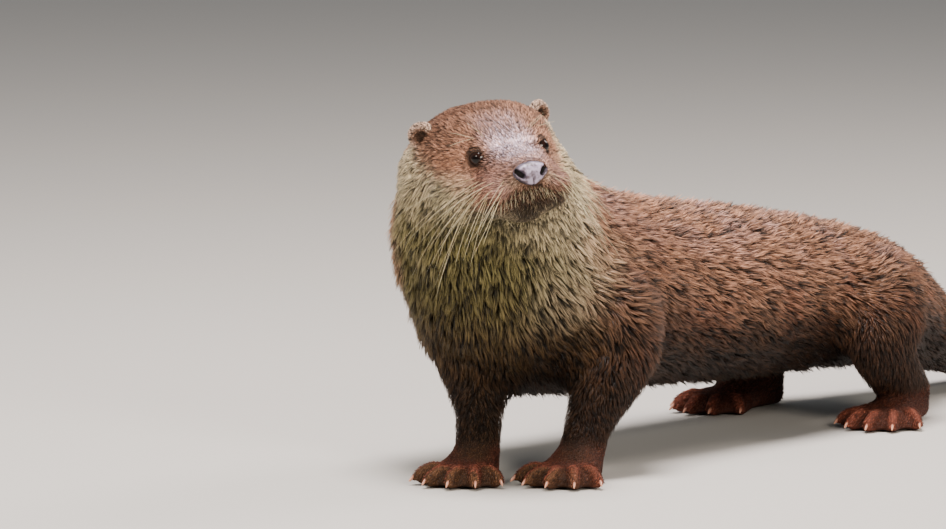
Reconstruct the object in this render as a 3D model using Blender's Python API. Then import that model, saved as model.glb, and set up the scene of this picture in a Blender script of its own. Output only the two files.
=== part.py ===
"""A Eurasian otter, life size and still: it stands on straight forelegs with its hindquarters low, its tail
laid on the floor and its head raised and turned to its left.

Metres, +Z up. The trunk runs along Y with the chest towards -Y, so the animal's left side is +X. The origin
is on the floor, under the middle of the bounding box. The solids reach out to the tips of the coat.
"""

import math

import bmesh
import bpy
from mathutils import Matrix, Vector

# How fine the body is modelled, and how it is parted.
VOXEL = 0.0025
SOFT_PASSES = 40
SETTLE_PASSES = 3
CUTTER_VOXEL = 0.0030
CUTTER_PASSES = 4
CUTTER_TRIANGLES = 200
LEG_MARGIN = 0.0060
PAW_MARGIN = 0.0032
GAP = 0.0003
CUTTER_SWELL = 1.2 * GAP
SHARP_ANGLE = math.radians(42)
REGION_TRIANGLES = {"rest": 1600, "head": 1250, "feet": 1100}
HEAD_REGION_RADIUS = 0.080
FOOT_REGION_HEIGHT = 0.030

# Where the softening of the joins is held back: on the front of the face and low on the feet.
FACE_MIDDLE = (0.006, 0.0, -0.016)
FACE_REACH = (0.045, 0.085)
FACE_DETAIL = 0.75
FOOT_DETAIL = 0.95
FOOT_DETAIL_TOP = 0.036
FOOT_DETAIL_FADE = 0.014
FOREFEET_END = 0.07
HINDFEET_SPAN = (0.28, 0.45)
HINDFEET_INSIDE = 0.035

# The head, in its own frame: forwards from the eyes, to the animal's left, and up.
EYE_LEVEL = Vector((0.0175, -0.0475, 0.2175))
HEAD_TURN = math.radians(51.4)
HEAD_RAISE = math.radians(2.6)
HEAD_TILT = math.radians(8.6)
EYE_RADIUS = 0.0062
EYE_PLACE = (-0.0038, 0.0202, -0.0014)
EYE_AIM = math.radians(48)
EAR_PLACE = (-0.0520, 0.0402, 0.0148)
EAR_HALF_SIZES = (0.0042, 0.0084, 0.0078)
EAR_AIM = math.radians(36)
EAR_LEAN = math.radians(14)
CUP_PLACE = (0.0046, 0.0, -0.0012)
CUP_HALF_SIZES = (0.0044, 0.0056, 0.0050)
NOSE_PLACE = (0.0325, 0.0, -0.0122)
NOSE_HALF_WIDTH = 0.0112
NOSE_ABOVE = 0.0068
NOSE_BELOW = 0.0086
NOSE_NARROWING = 0.30
NOSE_SIDES = 14
NOSE_BACK = -0.0070
# Sections of the nose pad: forwards of its middle, and size there.
NOSE_STATIONS = ((NOSE_BACK, 0.95), (0.0, 1.0), (0.0028, 0.90), (0.0046, 0.60))
NOSTRIL_PLACE = (0.0030, 0.0080, -0.0010)
NOSTRIL_HALF_SIZES = (0.0034, 0.0020, 0.0034)
NOSTRIL_TURN = math.radians(-34)

# Cranium and muzzle: forwards, height of the centre, half width, reach above and below, squareness.
SKULL_STATIONS = (
    (0.0350, -0.0140, 0.0060, 0.0055, 0.0060, 2.0),
    (0.0310, -0.0140, 0.0125, 0.0095, 0.0105, 2.2),
    (0.0215, -0.0145, 0.0190, 0.0135, 0.0175, 2.3),
    (0.0090, -0.0145, 0.0230, 0.0184, 0.0240, 2.3),
    (-0.0050, -0.0125, 0.0282, 0.0248, 0.0300, 2.4),
    (-0.0200, -0.0105, 0.0380, 0.0325, 0.0375, 2.5),
    (-0.0380, -0.0100, 0.0450, 0.0378, 0.0430, 2.5),
    (-0.0560, -0.0110, 0.0490, 0.0402, 0.0460, 2.4),
    (-0.0740, -0.0140, 0.0480, 0.0400, 0.0450, 2.2),
    (-0.0920, -0.0200, 0.0380, 0.0350, 0.0380, 2.0),
    (-0.1060, -0.0260, 0.0200, 0.0180, 0.0200, 2.0),
)
# Rounded masses of the face: centre and half sizes in the head's frame, mirrored where off the middle.
FACE_MASSES = {
    "whisker_pad": ((0.0105, 0.0160, -0.0260), (0.0195, 0.0170, 0.0148)),
    "chin": ((0.0055, 0.0, -0.0350), (0.0195, 0.0160, 0.0112)),
    "cheek": ((-0.0340, 0.0270, -0.0220), (0.0360, 0.0215, 0.0265)),
    "jowl": ((-0.0080, 0.0205, -0.0255), (0.0200, 0.0120, 0.0160)),
    "brow": ((-0.0120, 0.0170, 0.0062), (0.0120, 0.0090, 0.0060)),
    "bridge": ((0.0200, 0.0, -0.0075), (0.0170, 0.0105, 0.0070)),
}

# Neck and trunk, from inside the head to the rump: place, half width, reach above and below.
TRUNK_STATIONS = (
    (-0.028, -0.020, 0.214, 0.049, 0.043, 0.044),
    (-0.030, -0.006, 0.191, 0.059, 0.053, 0.056),
    (-0.032, 0.010, 0.164, 0.069, 0.063, 0.064),
    (-0.034, 0.038, 0.135, 0.073, 0.071, 0.085),
    (-0.028, 0.090, 0.117, 0.071, 0.068, 0.074),
    (-0.020, 0.160, 0.107, 0.068, 0.063, 0.065),
    (-0.013, 0.240, 0.099, 0.070, 0.060, 0.062),
    (-0.006, 0.320, 0.093, 0.067, 0.053, 0.058),
    (-0.001, 0.395, 0.084, 0.062, 0.047, 0.053),
    (0.001, 0.450, 0.071, 0.049, 0.041, 0.044),
    (0.002, 0.490, 0.056, 0.036, 0.033, 0.035),
    (0.004, 0.535, 0.041, 0.029, 0.026, 0.028),
    (0.010, 0.610, 0.025, 0.0235, 0.021, 0.0245),
    (0.024, 0.700, 0.0175, 0.0180, 0.0165, 0.0185),
    (0.046, 0.785, 0.0125, 0.0130, 0.0120, 0.0140),
    (0.070, 0.850, 0.0085, 0.0085, 0.0085, 0.0100),
    (0.082, 0.877, 0.0050, 0.0040, 0.0045, 0.0060),
)
CHEST_TURN = math.radians(28)
CHEST_TURN_FADES = (0.03, 0.16)
NECK_LEAN = 0.8

# Limbs: place, half width, reach forwards and backwards. The first stations lie inside the trunk.
FORELEG_STATIONS = {
    "right": (
        (-0.060, 0.024, 0.122, 0.020, 0.022, 0.030),
        (-0.067, 0.018, 0.104, 0.029, 0.030, 0.036),
        (-0.055, 0.018, 0.078, 0.0245, 0.026, 0.030),
        (-0.039, 0.003, 0.052, 0.0190, 0.0200, 0.0210),
        (-0.031, -0.009, 0.033, 0.0155, 0.0150, 0.0160),
        (-0.028, -0.015, 0.014, 0.0145, 0.0120, 0.0150),
    ),
    "left": (
        (0.022, 0.060, 0.124, 0.020, 0.024, 0.032),
        (0.033, 0.057, 0.105, 0.029, 0.031, 0.036),
        (0.036, 0.051, 0.078, 0.0265, 0.026, 0.030),
        (0.0325, 0.036, 0.052, 0.0215, 0.0200, 0.0210),
        (0.0305, 0.024, 0.033, 0.0160, 0.0150, 0.0160),
        (0.030, 0.018, 0.014, 0.0145, 0.0120, 0.0150),
    ),
}
FOREPAWS = {
    "right": {"heel": (-0.0275, -0.015), "turn": math.radians(12)},
    "left": {"heel": (0.0305, 0.018), "turn": math.radians(8)},
}
HIND_STAGGER = 0.012
HINDLEG_STATIONS = {
    "right": (
        (-0.038, 0.405, 0.100, 0.024, 0.030, 0.030),
        (-0.056, 0.375, 0.082, 0.027, 0.036, 0.040),
        (-0.066, 0.352, 0.060, 0.021, 0.030, 0.036),
        (-0.066, 0.372, 0.040, 0.0180, 0.0220, 0.0250),
        (-0.062, 0.398, 0.027, 0.0150, 0.0160, 0.0190),
        (-0.060, 0.412, 0.015, 0.0135, 0.0130, 0.0150),
    ),
}
HINDLEG_STATIONS["left"] = tuple(
    (-across, along - HIND_STAGGER, *others) for across, along, *others in HINDLEG_STATIONS["right"]
)
HINDPAWS = {
    "right": {"heel": (-0.060, 0.414), "turn": math.radians(-9)},
    "left": {"heel": (0.060, 0.402), "turn": math.radians(9)},
}
# Sole length from heel to ball, half width at the ball, toe length, how far the outer toes spread, and the
# foot's outline as rows of: share of the sole, half width, height of its back.
FORE_SIZES = {
    "sole": 0.026,
    "ball": 0.0200,
    "toe": 0.0265,
    "spread": math.radians(40),
    "back": (
        (-0.40, 0.0090, 0.022),
        (0.00, 0.0150, 0.034),
        (0.40, 0.0180, 0.0285),
        (0.80, 0.0195, 0.0200),
        (1.20, 0.0160, 0.0125),
    ),
}
HIND_SIZES = {
    "sole": 0.056,
    "ball": 0.0215,
    "toe": 0.0320,
    "spread": math.radians(28),
    "back": (
        (-0.12, 0.0080, 0.016),
        (0.00, 0.0120, 0.024),
        (0.45, 0.0150, 0.0215),
        (0.90, 0.0200, 0.0165),
        (1.15, 0.0165, 0.0110),
    ),
}
SOLE_DEPTH = 0.0016
PAW_CORE = 0.0060
BALL_CURVE = 0.22
TOES = 5
TOE_RADIUS = 0.0052
TOE_SHORTENING = (0.78, 0.95, 1.0, 0.93, 0.74)
TOE_BASE_HEIGHT = 0.0075
KNUCKLE_RISE = 0.0025
TOE_TIP_HEIGHT = 0.0044
TOE_ROOT = 0.0080
TOE_END = 0.0042
# A toe's sections at its root, knuckle, tip and end: half width, above, below.
TOE_SECTIONS = (
    (0.0058, 0.0058, 0.0080),
    (TOE_RADIUS, 0.0052, 0.0110),
    (TOE_RADIUS * 0.94, 0.0046, 0.0060),
    (TOE_RADIUS * 0.35, 0.0018, 0.0025),
)
WEB_REACH = 0.42
WEB_SPAN = 0.62
WEB_HALF_THICKNESS = 0.0034
WEB_HEIGHT = 0.0042
CLAW_LENGTH = 0.0068
CLAW_RADIUS = 0.0014
CLAW_FLATNESS = 0.8
CLAW_DROOP = 0.0030
CLAW_ROOT = 0.0005
CLAW_RISE = 0.0014
# A claw's sections: share of its length, and thickness there.
CLAW_STATIONS = ((0.0, 1.0), (0.5, 0.86), (1.0, 0.30))

# Where the body is parted: a point of each plane, and the direction in which the named piece lies.
HEAD_CUT = (Vector((-0.030, -0.006, 0.184)), Vector((0.30, -0.42, 0.86)))
NECK_CUT = (Vector((-0.026, 0.020, 0.150)), Vector((0.05, -0.50, 0.86)))
TAIL_CUTS = (
    ("tail_root", Vector((0.002, 0.492, 0.05)), Vector((0.0, 1.0, -0.28))),
    ("tail_tip", Vector((0.018, 0.670, 0.02)), Vector((0.18, 1.0, -0.06))),
)
WRIST_CUT = {"height": 0.0290, "slope": -0.45}
ANKLE_CUT = {"height": 0.0255, "slope": 0.0}

COLOURS = {
    "coat_brown": ((0.205, 0.118, 0.072), 0.62),
    "coat_pale": ((0.420, 0.350, 0.230), 0.64),
    "coat_dark": ((0.085, 0.052, 0.036), 0.60),
    "paw_skin": ((0.200, 0.088, 0.060), 0.50),
    "nose_skin": ((0.190, 0.160, 0.170), 0.38),
    "eye": ((0.022, 0.012, 0.009), 0.06),
    "claw": ((0.560, 0.420, 0.330), 0.35),
}


def clear_scene():
    """Removes every object of the scene."""
    for obj in list(bpy.data.objects):
        bpy.data.objects.remove(obj, do_unlink=True)


def material(name):
    """The material of that name from COLOURS, made once."""
    found = bpy.data.materials.get(name)
    if found:
        return found
    colour, roughness = COLOURS[name]
    made = bpy.data.materials.new(name)
    made.use_nodes = True
    shader = made.node_tree.nodes["Principled BSDF"]
    shader.inputs["Base Color"].default_value = (*colour, 1.0)
    shader.inputs["Roughness"].default_value = roughness
    shader.inputs["Metallic"].default_value = 0.0
    return made


def new_object(name, mesh, finish=None):
    """Puts a mesh in the scene as one named object."""
    obj = bpy.data.objects.new(name, mesh)
    bpy.context.scene.collection.objects.link(obj)
    if finish:
        mesh.materials.clear()
        mesh.materials.append(material(finish))
    return obj


def mesh_of(name, build):
    """A mesh made by the function build on a fresh bmesh, with its faces pointing out."""
    form = bmesh.new()
    build(form)
    bmesh.ops.recalc_face_normals(form, faces=form.faces)
    mesh = bpy.data.meshes.new(name)
    form.to_mesh(mesh)
    form.free()
    return mesh


def evaluated(obj):
    """Applies the object's modifiers to its mesh."""
    bpy.context.view_layer.update()
    graph = bpy.context.evaluated_depsgraph_get()
    baked = bpy.data.meshes.new_from_object(obj.evaluated_get(graph))
    obj.modifiers.clear()
    obj.data = baked
    return obj


def head_frame():
    """The matrix from the head's frame (forwards, left, up) to the model."""
    forwards = Vector((math.sin(HEAD_TURN), -math.cos(HEAD_TURN), math.tan(HEAD_RAISE))).normalized()
    left = Vector((0, 0, 1)).cross(forwards).normalized()
    up = forwards.cross(left)
    tilted_left = left * math.cos(HEAD_TILT) + up * math.sin(HEAD_TILT)
    tilted_up = forwards.cross(tilted_left)
    turned = Matrix((forwards, tilted_left, tilted_up)).transposed()
    return Matrix.Translation(EYE_LEVEL) @ turned.to_4x4()


def spline(before, start, end, after, t):
    """The value a share t of the way from start to end on a Catmull-Rom curve through all four."""
    slope = end - before
    bend = 2 * before - 5 * start + 4 * end - after
    twist = 3 * start - before - 3 * end + after
    return 0.5 * (2 * start + slope * t + bend * t**2 + twist * t**3)


def smooth_rows(rows, steps):
    """Rows of numbers with steps - 1 more between each two, on a smooth curve through them."""
    rows = [list(row) for row in rows]
    padded = [rows[0]] + rows + [rows[-1]]
    found = []
    for four in zip(padded, padded[1:], padded[2:], padded[3:]):
        for step in range(steps):
            found.append([spline(*values, step / steps) for values in zip(*four)])
    found.append(rows[-1])
    return found


def section(centre, left, up, half_width, above, below, squareness=2.0, sides=28):
    """The points of a rounded section, with its own reach above and below its centre."""
    points = []
    for i in range(sides):
        angle = math.tau * i / sides
        across, rise = math.cos(angle), math.sin(angle)
        across = math.copysign(abs(across) ** (2 / squareness), across)
        rise = math.copysign(abs(rise) ** (2 / squareness), rise)
        points.append(centre + left * half_width * across + up * (above if rise > 0 else below) * rise)
    return points


def loft(form, sections):
    """Skins a row of sections and closes both ends with a fan."""
    rings = [[form.verts.new(point) for point in points] for points in sections]
    sides = len(rings[0])
    for ring, following in zip(rings, rings[1:]):
        for i in range(sides):
            j = (i + 1) % sides
            form.faces.new((ring[i], ring[j], following[j], following[i]))
    for ring in (rings[0], rings[-1]):
        middle = form.verts.new(sum((v.co for v in ring), Vector()) / sides)
        for i in range(sides):
            form.faces.new((ring[i], ring[(i + 1) % sides], middle))


def lofted_path(form, rows, up_at, steps=4, grow=0.0, sides=28):
    """Lofts (x, y, z, half width, above, below) sections along their own path; up_at gives up at a place."""
    rows = smooth_rows(rows, steps)
    centres = [Vector(row[:3]) for row in rows]
    sections = []
    for i, row in enumerate(rows):
        along = (centres[min(i + 1, len(rows) - 1)] - centres[max(i - 1, 0)]).normalized()
        up = up_at(centres[i])
        up = (up - along * up.dot(along)).normalized()
        left = along.cross(up)
        sizes = [max(size + grow, 0.0005) for size in row[3:6]]
        sections.append(section(centres[i], left, up, *sizes, sides=sides))
    loft(form, sections)


def ellipsoid(form, centre, half_sizes, frame=Matrix.Identity(4), segments=20, rings=12):
    """A closed ellipsoid with its half sizes along the frame's axes."""
    place = frame @ Matrix.Translation(centre) @ Matrix.Diagonal((*half_sizes, 1.0))
    bmesh.ops.create_uvsphere(form, u_segments=segments, v_segments=rings, radius=1.0, matrix=place)


def mirrored(place):
    """The place on the animal's left, and the one on its right where it is off the middle."""
    forwards, left, up = place
    return [place] if left == 0 else [place, (forwards, -left, up)]


def build_head(form):
    """Cranium, muzzle, whisker pads, chin and cheeks."""
    frame = head_frame()
    sections = []
    for forwards, height, half_width, above, below, squareness in smooth_rows(SKULL_STATIONS, 3):
        points = section(
            Vector((forwards, 0, height)),
            Vector((0, 1, 0)),
            Vector((0, 0, 1)),
            half_width,
            above,
            below,
            squareness,
        )
        sections.append([frame @ point for point in points])
    loft(form, sections)
    for centre, half_sizes in FACE_MASSES.values():
        for place in mirrored(centre):
            ellipsoid(form, place, half_sizes, frame)


def dorsal(centre):
    """The direction of the back at a place on the spine, as the chest and neck are turned to the left."""
    near, far = CHEST_TURN_FADES
    share = min(max((far - centre.y) / (far - near), 0.0), 1.0)
    turn = CHEST_TURN * share * share * (3 - 2 * share)
    backwards = Vector((-math.sin(turn), math.cos(turn), 0.0))
    return Vector((0, 0, 1)) + backwards * NECK_LEAN * share


def build_trunk(form):
    """Neck, trunk and tail as one tube."""
    lofted_path(form, TRUNK_STATIONS, dorsal, steps=5, sides=40)


def forwards_of(turn):
    """The level direction that a foot or chest turned by this much to the left points in."""
    return Vector((math.sin(turn), -math.cos(turn), 0.0))


def build_leg(form, rows, turn, grow=0.0):
    """One leg from inside the trunk down to its foot."""
    lofted_path(form, rows, lambda centre: forwards_of(turn), steps=4, grow=grow, sides=24)


def toe_lines(paw, sizes):
    """For each toe, from the animal's right to its left: base, knuckle, tip, and its direction."""
    heel = Vector((*paw["heel"], 0.0))
    lines = []
    for i in range(TOES):
        fan = (i - (TOES - 1) / 2) / ((TOES - 1) / 2)
        aim = forwards_of(paw["turn"] + fan * sizes["spread"])
        across = forwards_of(paw["turn"] + math.pi / 2)
        base = heel + forwards_of(paw["turn"]) * sizes["sole"] * (1 - BALL_CURVE * fan * fan)
        base = base + across * fan * (sizes["ball"] - TOE_RADIUS)
        reach = sizes["toe"] * TOE_SHORTENING[i]
        base.z = TOE_BASE_HEIGHT
        knuckle = base + aim * reach * 0.5 + Vector((0, 0, KNUCKLE_RISE))
        tip = base + aim * reach
        tip.z = TOE_TIP_HEIGHT
        lines.append((base, knuckle, tip, aim))
    return lines


def build_paw(form, paw, sizes, grow=0.0):
    """Sole, toes and the web between them."""
    ahead = forwards_of(paw["turn"])
    heel = Vector((*paw["heel"], 0.0))
    up = Vector((0, 0, 1))
    rows = []
    for share, half_width, height in sizes["back"]:
        place = heel + ahead * sizes["sole"] * share
        above, below = height - PAW_CORE, PAW_CORE + SOLE_DEPTH
        rows.append((place.x, place.y, PAW_CORE, half_width, above, below))
    lofted_path(form, rows, lambda centre: up, steps=3, grow=grow, sides=20)
    lines = toe_lines(paw, sizes)
    for base, knuckle, tip, aim in lines:
        places = (base - aim * TOE_ROOT, knuckle, tip, tip + aim * (TOE_END + grow))
        rows = [(*place, *toe) for place, toe in zip(places, TOE_SECTIONS)]
        lofted_path(form, rows, lambda centre: up, steps=3, grow=grow, sides=12)
    for first, second in zip(lines, lines[1:]):
        middle = (first[1] + second[1]) / 2
        aim = (first[3] + second[3]).normalized()
        across = up.cross(aim)
        turned = Matrix((aim, across, up)).transposed().to_4x4()
        apart = (first[1] - second[1]).length
        half_sizes = (sizes["toe"] * WEB_REACH, apart * WEB_SPAN, WEB_HALF_THICKNESS)
        place = Matrix.Translation((middle.x, middle.y, WEB_HEIGHT)) @ turned
        ellipsoid(form, (0, 0, 0), half_sizes, place, 12, 8)


def weigh(obj, name, weight_at):
    """Gives the object a vertex group whose weights come from each vertex's place."""
    group = obj.vertex_groups.new(name=name)
    for vertex in obj.data.vertices:
        group.add([vertex.index], weight_at(vertex.co), "REPLACE")


def nearness(place, centre, inner, outer):
    """1 within inner metres of the centre, 0 beyond outer, smooth between."""
    share = min(max((outer - (place - centre).length) / (outer - inner), 0.0), 1.0)
    return share * share * (3 - 2 * share)


def fine_detail(place):
    """How much of its detail a place of the body keeps: most on the feet and face, none on the trunk."""
    face = FACE_DETAIL * nearness(place, head_frame() @ Vector(FACE_MIDDLE), *FACE_REACH)
    feet = FOOT_DETAIL * min(max((FOOT_DETAIL_TOP - place.z) / FOOT_DETAIL_FADE, 0.0), 1.0)
    return max(face, feet if near_foot(place) else 0.0)


def near_foot(place):
    """Whether a place is over a foot, and not over the belly or the tail."""
    near, far = HINDFEET_SPAN
    return place.y < FOREFEET_END or (abs(place.x) > HINDFEET_INSIDE and near < place.y < far)


def region_of(place):
    """The region of the body that a place is in, as REGION_TRIANGLES names them."""
    if (place - head_frame().translation).length < HEAD_REGION_RADIUS:
        return "head"
    return "feet" if near_foot(place) and place.z < FOOT_REGION_HEIGHT else "rest"


def thin_region(body, region, triangles):
    """Collapses edges of one region of the body until about that many triangles are left in it."""
    mesh = body.data
    inside = [1.0 if region_of(vertex.co) == region else 0.0 for vertex in mesh.vertices]
    counts = [(len(face.vertices) - 2, inside[face.vertices[0]]) for face in mesh.polygons]
    total = sum(count for count, _ in counts)
    in_region = sum(count for count, share in counts if share)
    weigh(body, region, lambda place: 1.0 if region_of(place) == region else 0.0)
    thin = body.modifiers.new("thin", "DECIMATE")
    thin.ratio = (total - in_region + triangles) / total
    thin.vertex_group = region
    thin.use_collapse_triangulate = True
    evaluated(body)
    body.vertex_groups.clear()


def whole_body():
    """Head, trunk, legs, feet and tail as one closed mesh with soft joins, cut flat where it rests."""

    def build(form):
        build_head(form)
        build_trunk(form)
        for side in ("right", "left"):
            build_leg(form, FORELEG_STATIONS[side], FOREPAWS[side]["turn"])
            build_leg(form, HINDLEG_STATIONS[side], HINDPAWS[side]["turn"])
            build_paw(form, FOREPAWS[side], FORE_SIZES)
            build_paw(form, HINDPAWS[side], HIND_SIZES)

    body = new_object("body", mesh_of("body", build))
    remesh = body.modifiers.new("fuse", "REMESH")
    remesh.mode = "VOXEL"
    remesh.voxel_size = VOXEL
    evaluated(body)
    weigh(body, "soft", lambda place: 1.0 - fine_detail(place))
    soften = body.modifiers.new("soften", "SMOOTH")
    soften.factor = 0.5
    soften.iterations = SOFT_PASSES
    soften.vertex_group = "soft"
    settle = body.modifiers.new("settle", "SMOOTH")
    settle.factor = 0.5
    settle.iterations = SETTLE_PASSES
    evaluated(body)
    body.vertex_groups.clear()
    for region, triangles in REGION_TRIANGLES.items():
        thin_region(body, region, triangles)
    body.data = half(body.data, Vector((0, 0, 0)), Vector((0, 0, 1)))
    return body


def half(mesh, point, direction):
    """A copy of a closed mesh, kept on the side of a plane that the direction points to and closed again."""
    form = bmesh.new()
    form.from_mesh(mesh)
    cut = bmesh.ops.bisect_plane(
        form,
        geom=form.verts[:] + form.edges[:] + form.faces[:],
        plane_co=point,
        plane_no=direction,
        clear_inner=True,
        dist=1e-6,
    )
    rim = [item for item in cut["geom_cut"] if isinstance(item, bmesh.types.BMEdge)]
    open_rim = [edge for edge in rim if edge.is_boundary]
    bmesh.ops.triangle_fill(form, edges=open_rim, use_beauty=True, normal=-direction)
    bmesh.ops.recalc_face_normals(form, faces=form.faces)
    made = bpy.data.meshes.new(mesh.name)
    form.to_mesh(made)
    form.free()
    return made


def parted(mesh, point, direction):
    """The two halves of a mesh at a plane, first the one that the direction points to, with a gap between."""
    direction = direction.normalized()
    ahead = half(mesh, point + direction * GAP / 2, direction)
    behind = half(mesh, point - direction * GAP / 2, -direction)
    return ahead, behind


def boolean(mesh, cutter, operation):
    """The mesh after one exact Boolean with a cutter mesh."""
    obj = new_object("boolean_work", mesh)
    other = new_object("boolean_cutter", cutter)
    step = obj.modifiers.new("cut", "BOOLEAN")
    step.operation = operation
    step.solver = "EXACT"
    step.object = other
    evaluated(obj)
    made = obj.data
    for used in (obj, other):
        bpy.data.objects.remove(used)
    return made


def main_shell(mesh):
    """The mesh without any crumb that a cut left beside its largest shell."""
    form = bmesh.new()
    form.from_mesh(mesh)
    left = set(form.verts)
    shells = []
    while left:
        shell, edge = set(), [left.pop()]
        while edge:
            vertex = edge.pop()
            shell.add(vertex)
            near = {link.other_vert(vertex) for link in vertex.link_edges} & left
            left -= near
            edge.extend(near)
        shells.append(shell)
    kept = max(shells, key=len)
    bmesh.ops.delete(form, geom=[vertex for vertex in form.verts if vertex not in kept], context="VERTS")
    form.to_mesh(mesh)
    form.free()
    return mesh


def finished(name, mesh, finish):
    """A node from a mesh: shaded smooth but for its cut edges."""
    obj = new_object(name, main_shell(mesh), finish)
    for polygon in mesh.polygons:
        polygon.material_index = 0
    mesh.shade_smooth()
    mesh.set_sharp_from_angle(angle=SHARP_ANGLE)
    return obj


def eye_mesh(side, grow=0.0):
    """One eyeball, its pole facing out through the lids."""
    forwards, left, up = EYE_PLACE
    radius = EYE_RADIUS + grow
    aim = Matrix.Rotation(side * EYE_AIM, 4, "Z") @ Matrix.Rotation(math.pi / 2, 4, "Y")
    frame = head_frame() @ Matrix.Translation((forwards, side * left, up)) @ aim
    return mesh_of("eye", lambda form: ellipsoid(form, (0, 0, 0), (radius,) * 3, frame, 12, 8))


def ear_frame(side):
    """The frame of one ear: X out of its cup, Y across it, Z towards its tip."""
    forwards, left, up = EAR_PLACE
    lean = Matrix.Rotation(side * EAR_AIM, 4, "Z") @ Matrix.Rotation(-side * EAR_LEAN, 4, "X")
    return head_frame() @ Matrix.Translation((forwards, side * left, up)) @ lean


def ear_mesh(side, grow=0.0):
    """One small round ear, cupped towards the front."""
    frame = ear_frame(side)
    half_sizes = tuple(size + grow for size in EAR_HALF_SIZES)
    shell = mesh_of("ear", lambda form: ellipsoid(form, (0, 0, 0), half_sizes, frame, 12, 7))
    if grow:
        return shell
    cup = mesh_of("cup", lambda form: ellipsoid(form, CUP_PLACE, CUP_HALF_SIZES, frame, 8, 5))
    return boolean(shell, cup, "DIFFERENCE")


def nose_sections(grow):
    """Sections of the nose pad from its back to its front, wide above and pointed below."""
    forwards, _, height = NOSE_PLACE
    for along, scale in NOSE_STATIONS:
        place = forwards + along + (-grow if along == NOSE_BACK else grow)
        ring = []
        for i in range(NOSE_SIDES):
            angle = math.tau * i / NOSE_SIDES
            across, rise = math.cos(angle), math.sin(angle)
            narrowing = 1.0 - NOSE_NARROWING * max(-rise, 0.0) ** 1.5
            width = (NOSE_HALF_WIDTH * scale + grow) * across * narrowing
            reach = (NOSE_ABOVE if rise > 0 else NOSE_BELOW) * scale + grow
            ring.append(Vector((place, width, height + reach * rise)))
        yield ring


def nose_mesh(grow=0.0):
    """The bare pad of the nose with a comma-shaped nostril in each side."""
    frame = head_frame()
    sections = [[frame @ point for point in ring] for ring in nose_sections(grow)]
    pad = mesh_of("nose", lambda form: loft(form, sections))
    if grow:
        return pad
    ahead, aside, rise = NOSTRIL_PLACE
    for side in (1, -1):
        slit = frame @ Matrix.Translation(NOSE_PLACE) @ Matrix.Translation((ahead, side * aside, rise))
        slit = slit @ Matrix.Rotation(side * NOSTRIL_TURN, 4, "X")
        hole = mesh_of("hole", lambda form: ellipsoid(form, (0, 0, 0), NOSTRIL_HALF_SIZES, slit, 7, 4))
        pad = boolean(pad, hole, "DIFFERENCE")
    return pad


def claw_mesh(line, grow=0.0):
    """One short claw, curved down from the end of its toe."""
    _, _, tip, aim = line
    up = Vector((0, 0, 1))
    start = tip - aim * CLAW_ROOT + up * CLAW_RISE
    sections = []
    for share, thickness in CLAW_STATIONS:
        reach = CLAW_LENGTH * share + grow * (2 * share - 1)
        centre = start + aim * reach - up * CLAW_DROOP * share * share
        radius = CLAW_RADIUS * thickness + grow
        sections.append(section(centre, up.cross(aim), up, radius * CLAW_FLATNESS, radius, radius, sides=4))
    return mesh_of("claw", lambda form: loft(form, sections))


def joined(meshes):
    """One mesh with all the given closed shells in it."""

    def build(form):
        for mesh in meshes:
            form.from_mesh(mesh)

    return mesh_of("cutters", build)


def leg_cutter(rows, paw, sizes):
    """A solid round one leg and its foot, a little larger than they are, that parts them from the trunk."""

    def build(form):
        build_leg(form, rows, paw["turn"], grow=LEG_MARGIN)
        build_paw(form, paw, sizes, grow=PAW_MARGIN)

    work = new_object("leg_cutter", mesh_of("leg_cutter", build))
    remesh = work.modifiers.new("fuse", "REMESH")
    remesh.mode = "VOXEL"
    remesh.voxel_size = CUTTER_VOXEL
    soften = work.modifiers.new("soften", "SMOOTH")
    soften.iterations = CUTTER_PASSES
    evaluated(work)
    weigh(work, "leg", lambda place: 1.0 if place.z > FOOT_REGION_HEIGHT else 0.0)
    high = sum(1 for face in work.data.polygons if face.center.z > FOOT_REGION_HEIGHT)
    low = len(work.data.polygons) - high
    thin = work.modifiers.new("thin", "DECIMATE")
    thin.ratio = (low + CUTTER_TRIANGLES / 2) / (low + high)
    thin.vertex_group = "leg"
    thin.use_collapse_triangulate = True
    mesh = evaluated(work).data
    bpy.data.objects.remove(work)
    return mesh


def swollen(mesh, by):
    """A copy of a mesh with its faces moved out by about this much."""
    form = bmesh.new()
    form.from_mesh(mesh)
    form.normal_update()
    moves = [vertex.normal * by * vertex.calc_shell_factor() for vertex in form.verts]
    for vertex, move in zip(form.verts, moves):
        vertex.co += move
    made = bpy.data.meshes.new("swollen")
    form.to_mesh(made)
    form.free()
    return made


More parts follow.
